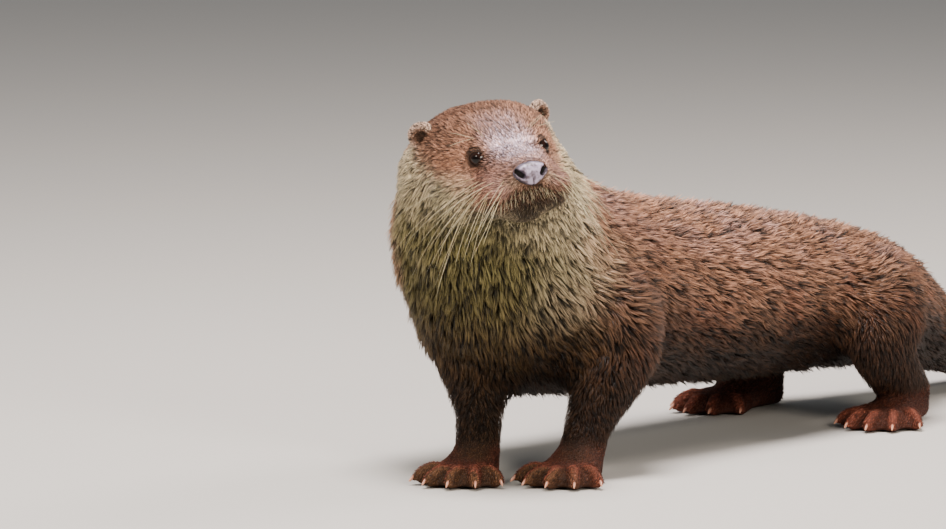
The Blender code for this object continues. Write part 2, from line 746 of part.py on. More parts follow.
def build_otter():
    """Makes every node of the otter."""
    body = whole_body()
    rest = body.data
    bpy.data.objects.remove(body)
    parts = {}

    claws = []
    for limb, paws, sizes in (("fore", FOREPAWS, FORE_SIZES), ("hind", HINDPAWS, HIND_SIZES)):
        for side in ("right", "left"):
            for i, line in enumerate(toe_lines(paws[side], sizes)):
                claws.append((f"claw_{limb}_{side}_{i + 1}", line))
    rest = boolean(rest, joined([claw_mesh(line, GAP) for _, line in claws]), "DIFFERENCE")
    for name, line in claws:
        parts[name] = finished(name, claw_mesh(line), "claw")

    for limb, legs, paws, sizes, cut in (
        ("fore", FORELEG_STATIONS, FOREPAWS, FORE_SIZES, WRIST_CUT),
        ("hind", HINDLEG_STATIONS, HINDPAWS, HIND_SIZES, ANKLE_CUT),
    ):
        for side in ("right", "left"):
            inner = leg_cutter(legs[side], paws[side], sizes)
            leg = boolean(rest.copy(), inner.copy(), "INTERSECT")
            rest = boolean(rest, swollen(inner, CUTTER_SWELL), "DIFFERENCE")
            point = Vector((*paws[side]["heel"], cut["height"]))
            direction = Vector((0, 0, 1)) + forwards_of(paws[side]["turn"]) * cut["slope"]
            upper, lower = parted(leg, point, direction)
            parts[f"{limb}leg_{side}"] = finished(f"{limb}leg_{side}", upper, "coat_dark")
            parts[f"{limb}paw_{side}"] = finished(f"{limb}paw_{side}", lower, "paw_skin")

    head, rest = parted(rest, *HEAD_CUT)
    neck, rest = parted(rest, *NECK_CUT)
    for name, point, direction in reversed(TAIL_CUTS):
        piece, rest = parted(rest, point, direction)
        parts[name] = finished(name, piece, "coat_brown")
    parts["trunk"] = finished("trunk", rest, "coat_brown")
    parts["neck"] = finished("neck", neck, "coat_pale")

    head = boolean(head, nose_mesh(GAP), "DIFFERENCE")
    for side, name in ((1, "left"), (-1, "right")):
        head = boolean(head, eye_mesh(side, GAP), "DIFFERENCE")
        head = boolean(head, ear_mesh(side, GAP), "DIFFERENCE")
        parts[f"eye_{name}"] = finished(f"eye_{name}", eye_mesh(side), "eye")
        parts[f"ear_{name}"] = finished(f"ear_{name}", ear_mesh(side), "coat_brown")
    parts["head"] = finished("head", head, "coat_brown")
    parts["nose"] = finished("nose", nose_mesh(), "nose_skin")
    return parts


def centre_on_floor(parts):
    """Moves every part so that the origin is on the floor under the middle of them all."""
    places = [vertex.co for obj in parts.values() for vertex in obj.data.vertices]
    low = Vector(min(place[i] for place in places) for i in range(3))
    high = Vector(max(place[i] for place in places) for i in range(3))
    shift = Vector((-(low.x + high.x) / 2, -(low.y + high.y) / 2, -low.z))
    for obj in parts.values():
        obj.data.transform(Matrix.Translation(shift))


def main():
    """Builds the otter in an empty scene."""
    clear_scene()
    centre_on_floor(build_otter())


if __name__ == "__main__":
    main()
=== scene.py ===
"""A life-size Eurasian otter: one skin under a coat of solid tufts, with eyes, nose, claws and whiskers.

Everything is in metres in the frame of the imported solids: +Z up, the chest towards -Y, the animal's left
towards +X. The solids give the outline at the tips of the coat, so the skin lies inside them.
"""

from __future__ import annotations

import logging
import math
from collections.abc import Callable
from dataclasses import dataclass, field
from enum import IntEnum
from typing import Any

import bpy
import numpy as np
from bpy.types import Material, Mesh, Node, NodeSocket, NodeTree, Object
from mathutils import Matrix, Vector, kdtree, noise
from mathutils.bvhtree import BVHTree


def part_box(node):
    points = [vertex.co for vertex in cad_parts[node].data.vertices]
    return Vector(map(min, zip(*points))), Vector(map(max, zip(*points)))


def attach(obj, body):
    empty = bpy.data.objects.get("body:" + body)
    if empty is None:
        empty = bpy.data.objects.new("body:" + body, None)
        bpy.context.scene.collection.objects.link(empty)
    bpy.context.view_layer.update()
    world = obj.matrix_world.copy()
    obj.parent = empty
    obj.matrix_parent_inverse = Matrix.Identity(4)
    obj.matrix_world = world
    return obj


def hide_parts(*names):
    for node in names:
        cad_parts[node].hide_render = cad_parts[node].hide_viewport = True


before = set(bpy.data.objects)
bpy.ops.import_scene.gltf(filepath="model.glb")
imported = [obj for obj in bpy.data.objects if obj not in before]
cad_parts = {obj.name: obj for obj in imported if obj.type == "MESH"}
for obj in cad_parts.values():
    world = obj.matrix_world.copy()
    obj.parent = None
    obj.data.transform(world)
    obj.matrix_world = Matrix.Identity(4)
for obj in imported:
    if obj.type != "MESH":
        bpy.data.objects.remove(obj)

Array = np.ndarray
Chance = np.random.Generator
Triple = tuple[float, float, float]
LOG = logging.getLogger("otter")
MM = 0.001
# How deep the hair lies on lids and ears. Over the rest of the head the depth is blended and never
# quite this, so it also tells the lids from the skin under them.
THIN = 0.6 * MM
# A length that stands for none.
TINY = 1e-9
ROOT = "root"
UP = Vector((0.0, 0.0, 1.0))
# The Mix node's sockets for colours: its first and second input and its result.
FIRST, SECOND, MIXED = 6, 7, 2


class Side(IntEnum):
    """The two sides of the animal, with the sign of their direction."""

    LEFT = 1
    RIGHT = -1

    @property
    def word(self) -> str:
        """The side's name as the nodes spell it."""
        return self.name.lower()


class Region(IntEnum):
    """Kinds of coat, each with its own length and lie."""

    HEAD = 0
    NECK = 1
    TRUNK = 2
    TAIL = 3
    LEG = 4
    PAW = 5
    EAR = 6


class Layer(IntEnum):
    """The parts that the skin is joined from."""

    BODY = 1
    LIDS = 2
    EARS = 3


# The coat's region on each solid that the skin is fused from.
NODE_REGIONS: dict[str, Region] = {
    **dict.fromkeys(("head", "nose", "eye_left", "eye_right"), Region.HEAD),
    "neck": Region.NECK,
    "trunk": Region.TRUNK,
    **dict.fromkeys(("tail_root", "tail_tip"), Region.TAIL),
    **dict.fromkeys(("foreleg_left", "foreleg_right", "hindleg_left", "hindleg_right"), Region.LEG),
    **dict.fromkeys(("forepaw_left", "forepaw_right", "hindpaw_left", "hindpaw_right"), Region.PAW),
}
# The solids that the skin takes the place of; nose and eyes have pieces of their own.
FLESH = [name for name in NODE_REGIONS if name not in ("nose", "eye_left", "eye_right")]
# How far each foot's toes point from straight ahead, towards the animal's left.
PAW_TURNS = {
    "forepaw_left": math.radians(8),
    "forepaw_right": math.radians(12),
    "hindpaw_left": math.radians(9),
    "hindpaw_right": math.radians(-9),
}
# Regions where single guard hairs stand above the rest.
GUARDED = (Region.HEAD, Region.NECK, Region.TRUNK, Region.TAIL)
# How deep the skin lies under the coat's tips; the head's depth is worked out from place to place.
DEPTHS = {
    Region.HEAD: 3.4 * MM,
    Region.NECK: 7.0 * MM,
    Region.TRUNK: 7.0 * MM,
    Region.TAIL: 3.2 * MM,
    Region.LEG: 2.6 * MM,
    Region.PAW: THIN,
    Region.EAR: THIN,
}
# The mouth's line from the middle of the lips to its corner and past it, in the head's frame, on the left.
MOUTH = (
    (0.0330, 0.0000, -0.0228),
    (0.0310, 0.0080, -0.0236),
    (0.0285, 0.0150, -0.0268),
    (0.0225, 0.0210, -0.0305),
    (0.0120, 0.0250, -0.0335),
    (-0.0040, 0.0280, -0.0340),
)


# ---- small tools


def linear(hex_colour: str) -> tuple[float, float, float, float]:
    """Turns an sRGB hex colour into the linear values that shaders take.

    Args:
        hex_colour: Six hex digits after a hash sign.

    Returns:
        Linear red, green, blue and an alpha of 1.
    """
    values = [int(hex_colour[i : i + 2], 16) / 255 for i in (1, 3, 5)]
    curve = [v / 12.92 if v <= 0.04045 else ((v + 0.055) / 1.055) ** 2.4 for v in values]
    return (*curve, 1.0)


def connect(node: Node, links: dict[Any, Any]) -> None:
    """Feeds a node's inputs, by name or number, from the output sockets given for them."""
    for name, socket in links.items():
        node.id_data.links.new(socket, node.inputs[name])


def add_node(
    tree: NodeTree, kind: str, settings: dict[Any, Any], links: dict[Any, Any]
) -> Node:
    """Adds one shader node.

    Args:
        tree: The node tree that gets it.
        kind: Blender's name for the node's type.
        settings: Properties of the node, or values of its inputs where the key names or numbers an input.
        links: Input name or number to the output socket that feeds it.

    Returns:
        The new node.
    """
    made = tree.nodes.new(kind)
    for name, value in settings.items():
        if isinstance(name, str) and hasattr(made, name):
            setattr(made, name, value)
        else:
            made.inputs[name].default_value = value
    connect(made, links)
    return made


def new_material(name: str, values: dict[str, Any]) -> tuple[Material, Node]:
    """Starts a material.

    Args:
        name: What the real material is, and how its surface is.
        values: What is the same all over the surface, by the name of the shader's input.

    Returns:
        The material and its shader.
    """
    made = bpy.data.materials.new(name)
    made.use_nodes = True
    shader = made.node_tree.nodes["Principled BSDF"]
    for key, value in values.items():
        shader.inputs[key].default_value = value
    return made, shader


def smoothstep(low: float, high: float, values: Array) -> Array:
    """0 at low, 1 at high and smooth between; the step falls where high lies below low."""
    share = np.clip((np.asarray(values) - low) / (high - low), 0.0, 1.0)
    return share * share * (3 - 2 * share)


def unit(vectors: Array) -> Array:
    """Rows of three numbers, each divided by its length."""
    return vectors / np.maximum(np.linalg.norm(vectors, axis=1, keepdims=True), TINY)


def transformed(matrix: Matrix, points: Array) -> Array:
    """Rows of points moved by a 4 by 4 matrix."""
    m = np.array(matrix)
    return points @ m[:3, :3].T + m[:3, 3]


def along_line(points: Array, start: Array, end: Array) -> tuple[Array, Array]:
    """Measures places against a straight line.

    Args:
        points: Rows of as many numbers as the line's ends have.
        start: Where the line starts.
        end: Where it ends.

    Returns:
        How far each place is from the line, and how far along it: 0 at its start and 1 at its end.
    """
    way = end - start
    share = (points - start) @ way / (way @ way)
    away = np.linalg.norm(points - start - np.clip(share, 0, 1)[:, None] * way, axis=1)
    return away, share


def only(*objects: Object) -> None:
    """Selects the given objects and nothing else, the first one active.

    Args:
        objects: What the next operator works on.
    """
    bpy.ops.object.select_all(action="DESELECT")
    for obj in objects:
        obj.select_set(True)
    bpy.context.view_layer.objects.active = objects[0]


def primitive(name: str, operator: Callable[..., Any], **settings: Any) -> Object:
    """Adds a primitive to start a piece from, with nothing else selected.

    Args:
        name: The piece's name.
        operator: The operator that adds it.
        settings: Its sizes and counts.

    Returns:
        The new object.
    """
    bpy.ops.object.select_all(action="DESELECT")
    operator(**settings)
    obj = bpy.context.object
    obj.name = name
    return obj


def apply_modifier(obj: Object, kind: str, **settings: Any) -> None:
    """Adds a modifier with its settings and applies it at once.

    Args:
        obj: The object that is changed.
        kind: Blender's name for the modifier's type.
        settings: Properties of the modifier.
    """
    only(obj)
    modifier = obj.modifiers.new(kind.title(), kind)
    for name, value in settings.items():
        setattr(modifier, name, value)
    bpy.ops.object.modifier_apply(modifier=modifier.name)


def read_rows(items: Any, name: str, width: int, kind: type) -> Array:
    """Reads one property of a mesh's vertices, edges or triangles.

    Args:
        items: The mesh's collection.
        name: The property's name.
        width: How many numbers each item has.
        kind: What kind of number they are.

    Returns:
        One row for each item.
    """
    found = np.empty(len(items) * width, kind)
    items.foreach_get(name, found)
    return found.reshape(-1, width)


def points_of(mesh: Mesh) -> Array:
    """The mesh's vertices, as one row of three numbers for each."""
    return read_rows(mesh.vertices, "co", 3, np.float32).astype(np.float64)


def move_points(mesh: Mesh, points: Array) -> None:
    """Puts the mesh's vertices at the given places."""
    mesh.vertices.foreach_set("co", np.ascontiguousarray(points, np.float32).ravel())
    mesh.update()


def new_mesh(name: str, points: Array, faces: Array) -> Object:
    """An object made from arrays, for what is repeated thousands of times.

    Args:
        name: The object's name.
        points: Rows of three numbers.
        faces: Rows of three or four vertex numbers.

    Returns:
        The new object, at the origin and shaded smooth.
    """
    mesh = bpy.data.meshes.new(name)
    count, sides = faces.shape
    mesh.vertices.add(len(points))
    mesh.vertices.foreach_set("co", np.ascontiguousarray(points, np.float32).ravel())
    mesh.loops.add(count * sides)
    mesh.loops.foreach_set("vertex_index", np.ascontiguousarray(faces, np.int32).ravel())
    mesh.polygons.add(count)
    mesh.polygons.foreach_set("loop_start", np.arange(0, count * sides, sides, dtype=np.int32))
    mesh.update(calc_edges=True)
    mesh.shade_smooth()
    obj = bpy.data.objects.new(name, mesh)
    bpy.context.scene.collection.objects.link(obj)
    return obj


def put_attribute(mesh: Mesh, name: str, values: Array) -> None:
    """Stores numbers for each vertex as a colour attribute.

    Args:
        mesh: The mesh that carries it.
        name: The attribute's name.
        values: For each vertex a row of three or four numbers, or one number for all three channels.
    """
    rows = np.zeros((len(mesh.vertices), 4), np.float32)
    if values.ndim == 1:
        rows[:, :3] = values[:, None]
    else:
        rows[:, : values.shape[1]] = values
    attribute = mesh.attributes.new(name, "FLOAT_COLOR", "POINT")
    attribute.data.foreach_set("color", rows.ravel())


def label(mesh: Mesh, layer: Layer) -> None:
    """Marks which part of the skin a mesh is, before the parts are joined."""
    attribute = mesh.attributes.new("kind", "INT", "POINT")
    attribute.data.foreach_set("value", np.full(len(mesh.vertices), layer, np.int32))


def dress(obj: Object, finish: Material) -> None:
    """Gives a finished piece its material, in a slot of its own, and its body.

    Args:
        obj: The piece.
        finish: Its material.
    """
    obj.data.materials.clear()
    obj.data.materials.append(finish)
    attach(obj, ROOT)


# ---- the animal's own frames


def middle_of(node: str) -> Vector:
    """The middle of the box round one solid."""
    low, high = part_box(node)
    return (low + high) / 2


@dataclass(frozen=True)
class HeadFrame:
    """The head's axes: forwards, to the animal's left, and up, from a point between the eyes."""

    turn: float = math.radians(51.4)
    raised: float = math.radians(2.6)
    tilt: float = math.radians(8.6)
    eye_ahead: float = -3.8 * MM
    eye_aside: float = 20.2 * MM
    eye_above: float = -1.4 * MM

    def matrix(self) -> Matrix:
        """The head's place, found from the two eye solids.

        Returns:
            The matrix from the head's frame to the model's.
        """
        ahead = Vector((math.sin(self.turn), -math.cos(self.turn), math.tan(self.raised))).normalized()
        level_left = UP.cross(ahead).normalized()
        level_up = ahead.cross(level_left)
        left = level_left * math.cos(self.tilt) + level_up * math.sin(self.tilt)
        turned = Matrix((ahead, left, ahead.cross(left))).transposed()
        middle = sum((middle_of(f"eye_{side.word}") for side in Side), Vector()) / 2
        origin = middle - turned @ Vector((self.eye_ahead, 0.0, self.eye_above))
        return Matrix.Translation(origin) @ turned.to_4x4()

    def inward(self, points: Array) -> Array:
        """Rows in the model's frame as forwards, left and up in the head's frame."""
        return transformed(self.matrix().inverted(), points)


HEAD = HeadFrame()


@dataclass(frozen=True)
class Spine:
    """The line through neck, trunk and tail that the coat lies along."""

    stations: tuple[Triple, ...] = (
        (-0.0254, -0.4175, 0.2140),
        (-0.0274, -0.4035, 0.1910),
        (-0.0294, -0.3875, 0.1640),
        (-0.0314, -0.3595, 0.1350),
        (-0.0254, -0.3075, 0.1170),
        (-0.0174, -0.2375, 0.1070),
        (-0.0104, -0.1575, 0.0990),
        (-0.0034, -0.0775, 0.0930),
        (0.0016, -0.0025, 0.0840),
        (0.0036, 0.0525, 0.0710),
        (0.0046, 0.0925, 0.0560),
        (0.0066, 0.1375, 0.0410),
        (0.0126, 0.2125, 0.0250),
        (0.0266, 0.3025, 0.0175),
        (0.0486, 0.3875, 0.0125),
        (0.0726, 0.4525, 0.0085),
        (0.0846, 0.4795, 0.0050),
    )

    def tangents(self, points: Array) -> Array:
        """The direction towards the tail at the part of the spine nearest to each point.

        Args:
            points: Rows in the model's frame.

        Returns:
            Rows of unit vectors.
        """
        line = np.array(self.stations)
        middles = (line[1:] + line[:-1]) / 2
        ways = unit(line[1:] - line[:-1])
        away = np.linalg.norm(points[:, None, :] - middles[None, :, :], axis=2)
        weight = 1.0 / (away**4 + 1e-9)
        return unit((weight[:, :, None] * ways[None]).sum(axis=1))


# ---- a mesh as arrays


class Surface:
    """The skin as arrays, for fields that vary over it and for sowing tufts on it."""

    def __init__(self, obj: Object) -> None:
        """Reads the mesh.

        Args:
            obj: The skin, triangulated where it is read.
        """
        mesh = obj.data
        mesh.calc_loop_triangles()
        self.points = points_of(mesh)
        self.normals = read_rows(mesh.vertex_normals, "vector", 3, np.float32).astype(np.float64)
        self.corners = read_rows(mesh.loop_triangles, "vertices", 3, np.int32)
        self.loops = read_rows(mesh.loop_triangles, "loops", 3, np.int32)
        self.edges = read_rows(mesh.edges, "vertices", 2, np.int32)

    def smoothed(self, values: Array, passes: int) -> Array:
        """A field averaged with its neighbours.

        Args:
            values: One number or one row for each vertex.
            passes: How often it is averaged.

        Returns:
            The smoother field, in the same shape.
        """
        rows = values.reshape(len(self.points), -1).astype(np.float64)
        one, two = self.edges.T
        size = len(self.points)
        degree = np.bincount(one, minlength=size) + np.bincount(two, minlength=size)
        for _ in range(passes):
            total = np.empty_like(rows)
            for column in range(rows.shape[1]):
                given = rows[:, column]
                total[:, column] = np.bincount(one, given[two], size) + np.bincount(two, given[one], size)
            rows = 0.5 * rows + 0.5 * total / np.maximum(degree, 1)[:, None]
        return rows.reshape(values.shape)

    def areas(self) -> Array:
        """The area of each triangle."""
        a, b, c = (self.points[self.corners[:, i]] for i in range(3))
        return 0.5 * np.linalg.norm(np.cross(b - a, c - a), axis=1)

    def sow(self, density: Array, rng: Chance) -> tuple[Array, Array]:
        """Places seeds on the surface.

        Args:
            density: Seeds for each square metre, at each vertex.
            rng: The source of chance.

        Returns:
            The triangle of each seed, and its three weights there.
        """
        wanted = self.areas() * density[self.corners].mean(axis=1)
        reach = np.cumsum(wanted)
        count = int(reach[-1])
        marks = (np.arange(count) + rng.random(count)) * reach[-1] / count
        triangles = np.searchsorted(reach, marks)
        first, second = np.sqrt(rng.random(count)), rng.random(count)
        weights = np.stack([1 - first, first * (1 - second), first * second], axis=1)
        return np.minimum(triangles, len(wanted) - 1), weights

    def read(self, values: Array, triangles: Array, weights: Array) -> Array:
        """A vertex field at seeds.

        Args:
            values: One number or row for each vertex.
            triangles: The triangle of each seed.
            weights: Its three weights there.

        Returns:
            The field at each seed.
        """
        corners = values[self.corners[triangles]]
        shares = weights if values.ndim == 1 else weights[:, :, None]
        return (corners * shares).sum(axis=1)


# ---- markings


@dataclass(frozen=True)
class Paws:
    """The toes of all four feet: a line from each knuckle to its claw."""

    length: float = 21.0 * MM
    ridge: float = 2.3 * MM
    ridge_width: float = 3.0 * MM
    groove: float = 1.5 * MM
    groove_edges: tuple[float, float] = (2.6 * MM, 4.6 * MM)
    reach: float = 0.012

    def lines(self) -> list[tuple[Array, Array]]:
        """The toes as seen from above.

        Returns:
            The start and end of each toe.
        """
        found = []
        for paw in PAW_TURNS:
            limb, side = paw.split("paw_")
            middle = np.array(middle_of(paw)[:2])
            for number in range(1, 6):
                end = np.array(middle_of(f"claw_{limb}_{side}_{number}")[:2])
                way = (end - middle) / np.linalg.norm(end - middle)
                found.append((end - way * self.length, end))
        return found

    def toes(self, points: Array) -> tuple[Array, Array]:
        """How far each place is from the nearest toe's line, and how far along it.

        Args:
            points: Rows in the model's frame.

        Returns:
            Metres from the line, and 0 at the knuckle to 1 at the claw.
        """
        away, along = np.full(len(points), 1.0), np.zeros(len(points))
        for start, end in self.lines():
            near, share = along_line(points[:, :2], start, end)
            along = np.where(near < away, share, along)
            away = np.minimum(away, near)
        return away, along

    def shaped(self, points: Array, normals: Array) -> Array:
        """The feet with a ridge along each toe and a web sunk between them.

        Args:
            points: The skin's places.
            normals: Its directions.

        Returns:
            The moved places.
        """
        away, along = self.toes(points)
        rise = self.ridge * np.exp(-((away / self.ridge_width) ** 2))
        rise -= self.groove * smoothstep(*self.groove_edges, away)
        rise *= smoothstep(-0.05, 0.45, along)
        rise *= smoothstep(0.036, 0.024, points[:, 2])
        rise *= away < self.reach
        rise *= smoothstep(-0.6, -0.1, normals[:, 2])
        return points + normals * rise[:, None]


PAWS = Paws()


@dataclass(frozen=True)
class Spot:
    """A soft spot on both sides of the face, in the head's frame."""

    strength: float
    middle: Triple
    sizes: Triple

    def at(self, local: Array) -> Array:
        """How strong the spot is.

        Args:
            local: Rows in the head's frame.

        Returns:
            The strength at its middle, fading to 0 past its sizes.
        """
        folded = np.stack([local[:, 0], np.abs(local[:, 1]), local[:, 2]], axis=1)
        off = (folded - np.array(self.middle)) / np.array(self.sizes)
        return self.strength * np.exp(-(off**2).sum(axis=1))


@dataclass(frozen=True)
class Face:
    """The markings of the face. Each is 0 to 1 at places in the head's frame."""

    eye_ring: tuple[float, float] = (6.5 * MM, 7.3 * MM)
    ear_base: Spot = Spot(1.1, (-0.065, 0.047, 0.000), (0.013, 0.02, 0.010))
    pale_lip: Spot = Spot(0.4, (0.032, 0.011, -0.0165), (0.010, 0.0075, 0.0042))
    upper_lip: Spot = Spot(0.9, (0.020, 0.020, -0.018), (0.020, 0.017, 0.012))
    under_eye: Spot = Spot(0.7, (0.006, 0.024, -0.010), (0.014, 0.012, 0.008))
    temple: Spot = Spot(0.4, (-0.012, 0.026, 0.008), (0.010, 0.010, 0.005))
    nape: Spot = Spot(0.5, (-0.05, 0.02, 0.026), (0.03, 0.03, 0.02))
    eye_corner: Spot = Spot(1.1, (0.0055, 0.0185, 0.0042), (0.0042, 0.0030, 0.0022))
    behind_eye: Spot = Spot(0.26, (-0.035, 0.030, 0.014), (0.026, 0.014, 0.011))
    bridge: Spot = Spot(1.0, (0.018, 0.000, -0.003), (0.016, 0.013, 0.008))
    whisker_rows: Spot = Spot(0.15, (0.012, 0.018, -0.022), (0.02, 0.01, 0.012))
    whisker_pad: Spot = Spot(1.0, (0.024, 0.018, -0.020), (0.014, 0.009, 0.009))

    def pale(self, local: Array, wobble: Array) -> Array:
        """The cream of cheeks and throat, with the lip's edge and the fringe under the left ear.

        Args:
            local: Rows in the head's frame.
            wobble: Noise from -1 to 1 that breaks the edges.

        Returns:
            How pale each place is.
        """
        ahead, aside, above = local.T
        wide = np.abs(aside)
        line = -0.012 - 0.24 * np.minimum(ahead, 0) - 0.7 * np.maximum(ahead, 0)
        cheek = smoothstep(line + 0.006, line - 0.010, above + 0.007 * wobble)
        cheek = cheek * smoothstep(0.016, -0.010, ahead) * smoothstep(0.014, 0.024, wide)
        edge = above + 0.003 * wobble
        throat = smoothstep(-0.036, -0.048, edge) * smoothstep(0.026, 0.004, ahead)
        throat = np.maximum(throat, smoothstep(-0.028, -0.036, edge) * smoothstep(0.036, 0.024, ahead))
        fringe = 0.8 * smoothstep(0.030, 0.035, aside) * smoothstep(0.006, -0.006, ahead)
        fringe = fringe * smoothstep(0.014, 0.006, above) * (ahead > -0.05)
        pale = np.maximum(cheek, throat) + self.ear_base.at(local) + self.pale_lip.at(local) + fringe
        return np.clip(pale, 0, 1)

    def rust(self, local: Array) -> Array:
        """The rust of the upper lip, under the eye, on the temple and on the nape.

        Args:
            local: Rows in the head's frame.

        Returns:
            How rusty each place is.
        """
        rust = self.upper_lip.at(local) + self.under_eye.at(local)
        rust *= smoothstep(-0.029, -0.021, local[:, 2])
        rust += self.temple.at(local) + self.nape.at(local)
        return np.clip(rust, 0, 1)

    def dark(self, local: Array, wobble: Array) -> Array:
        """The dark of chin, jaw, lip edge, eye rims and crown; on chin and jaw it is painted shade, and
        along the lip's edge partly so.

        Args:
            local: Rows in the head's frame.
            wobble: Noise from -1 to 1 that breaks the edges.

        Returns:
            How dark each place is.
        """
        ahead, aside, above = local.T
        wide = np.abs(aside)
        # Chin and jaw are darkened: painted shade under the overhanging muzzle.
        chin_edge = np.interp(above, (-0.046, -0.030), (0.007, 0.0175)) + 0.0025 * wobble
        chin = 0.92 * smoothstep(0.010, -0.008, wide - chin_edge)
        chin = chin * smoothstep(-0.0222, -0.0275, above + 0.001 * wobble)
        chin *= smoothstep(-0.004, 0.012, ahead) * smoothstep(-0.053, -0.041, above + 0.003 * wobble)
        # Along the lip's edge: the dark lips, with painted shade in the mouth's crease.
        _, across, rise = np.array(MOUTH[:-1]).T
        crease = np.interp(wide, across, rise)
        lip_edge = 0.54 + 0.26 * smoothstep(0.018, 0.008, wide)
        lip_edge = lip_edge * smoothstep(0.0056, 0.0012, above - crease + 0.001 * wobble)
        lip_edge *= smoothstep(0.004, 0.018, ahead) * smoothstep(-0.048, -0.034, above)
        eyes = np.zeros(len(local))
        inner, outer = self.eye_ring
        for side in Side:
            middle = [HEAD.eye_ahead, side * HEAD.eye_aside, HEAD.eye_above]
            away = np.linalg.norm(local - np.array(middle), axis=1)
            eyes = np.maximum(eyes, smoothstep(outer, inner, away))
        # The jaw is darker on the animal's left: painted shade.
        jaw = (0.74 + 0.16 * smoothstep(0.0, 0.015, aside)) * smoothstep(-0.048, -0.034, above)
        jaw *= smoothstep(-0.023, -0.029, above)
        jaw *= smoothstep(-0.012, 0.004, ahead) * smoothstep(0.034, 0.026, wide)
        crown = (0.12 + 0.14 * smoothstep(0.026, 0.010, wide)) * smoothstep(0.004, 0.014, above)
        crown = crown + self.behind_eye.at(local)
        dark = np.maximum(np.maximum(chin, jaw), np.maximum(eyes, lip_edge))
        return np.clip(dark + self.eye_corner.at(local) + crown, 0, 1)

    def frost(self, local: Array) -> Array:
        """The painted sheen on the brow, the nose's bridge and the whisker pads: the sky's reflection on
        damp fur.

        Args:
            local: Rows in the head's frame.

        Returns:
            How much painted sheen each place has.
        """
        ahead, aside, above = local.T
        brow = smoothstep(0.022, 0.006, np.abs(aside)) * smoothstep(0.026, 0.010, ahead)
        brow = brow * smoothstep(-0.036, -0.002, ahead)
        bridge = self.bridge.at(local) + self.whisker_rows.at(local)
        frost = 0.80 * brow * smoothstep(-0.008, 0.001, above)
        return np.clip(frost + 0.80 * bridge + 0.12 * self.whisker_pad.at(local), 0, 1)


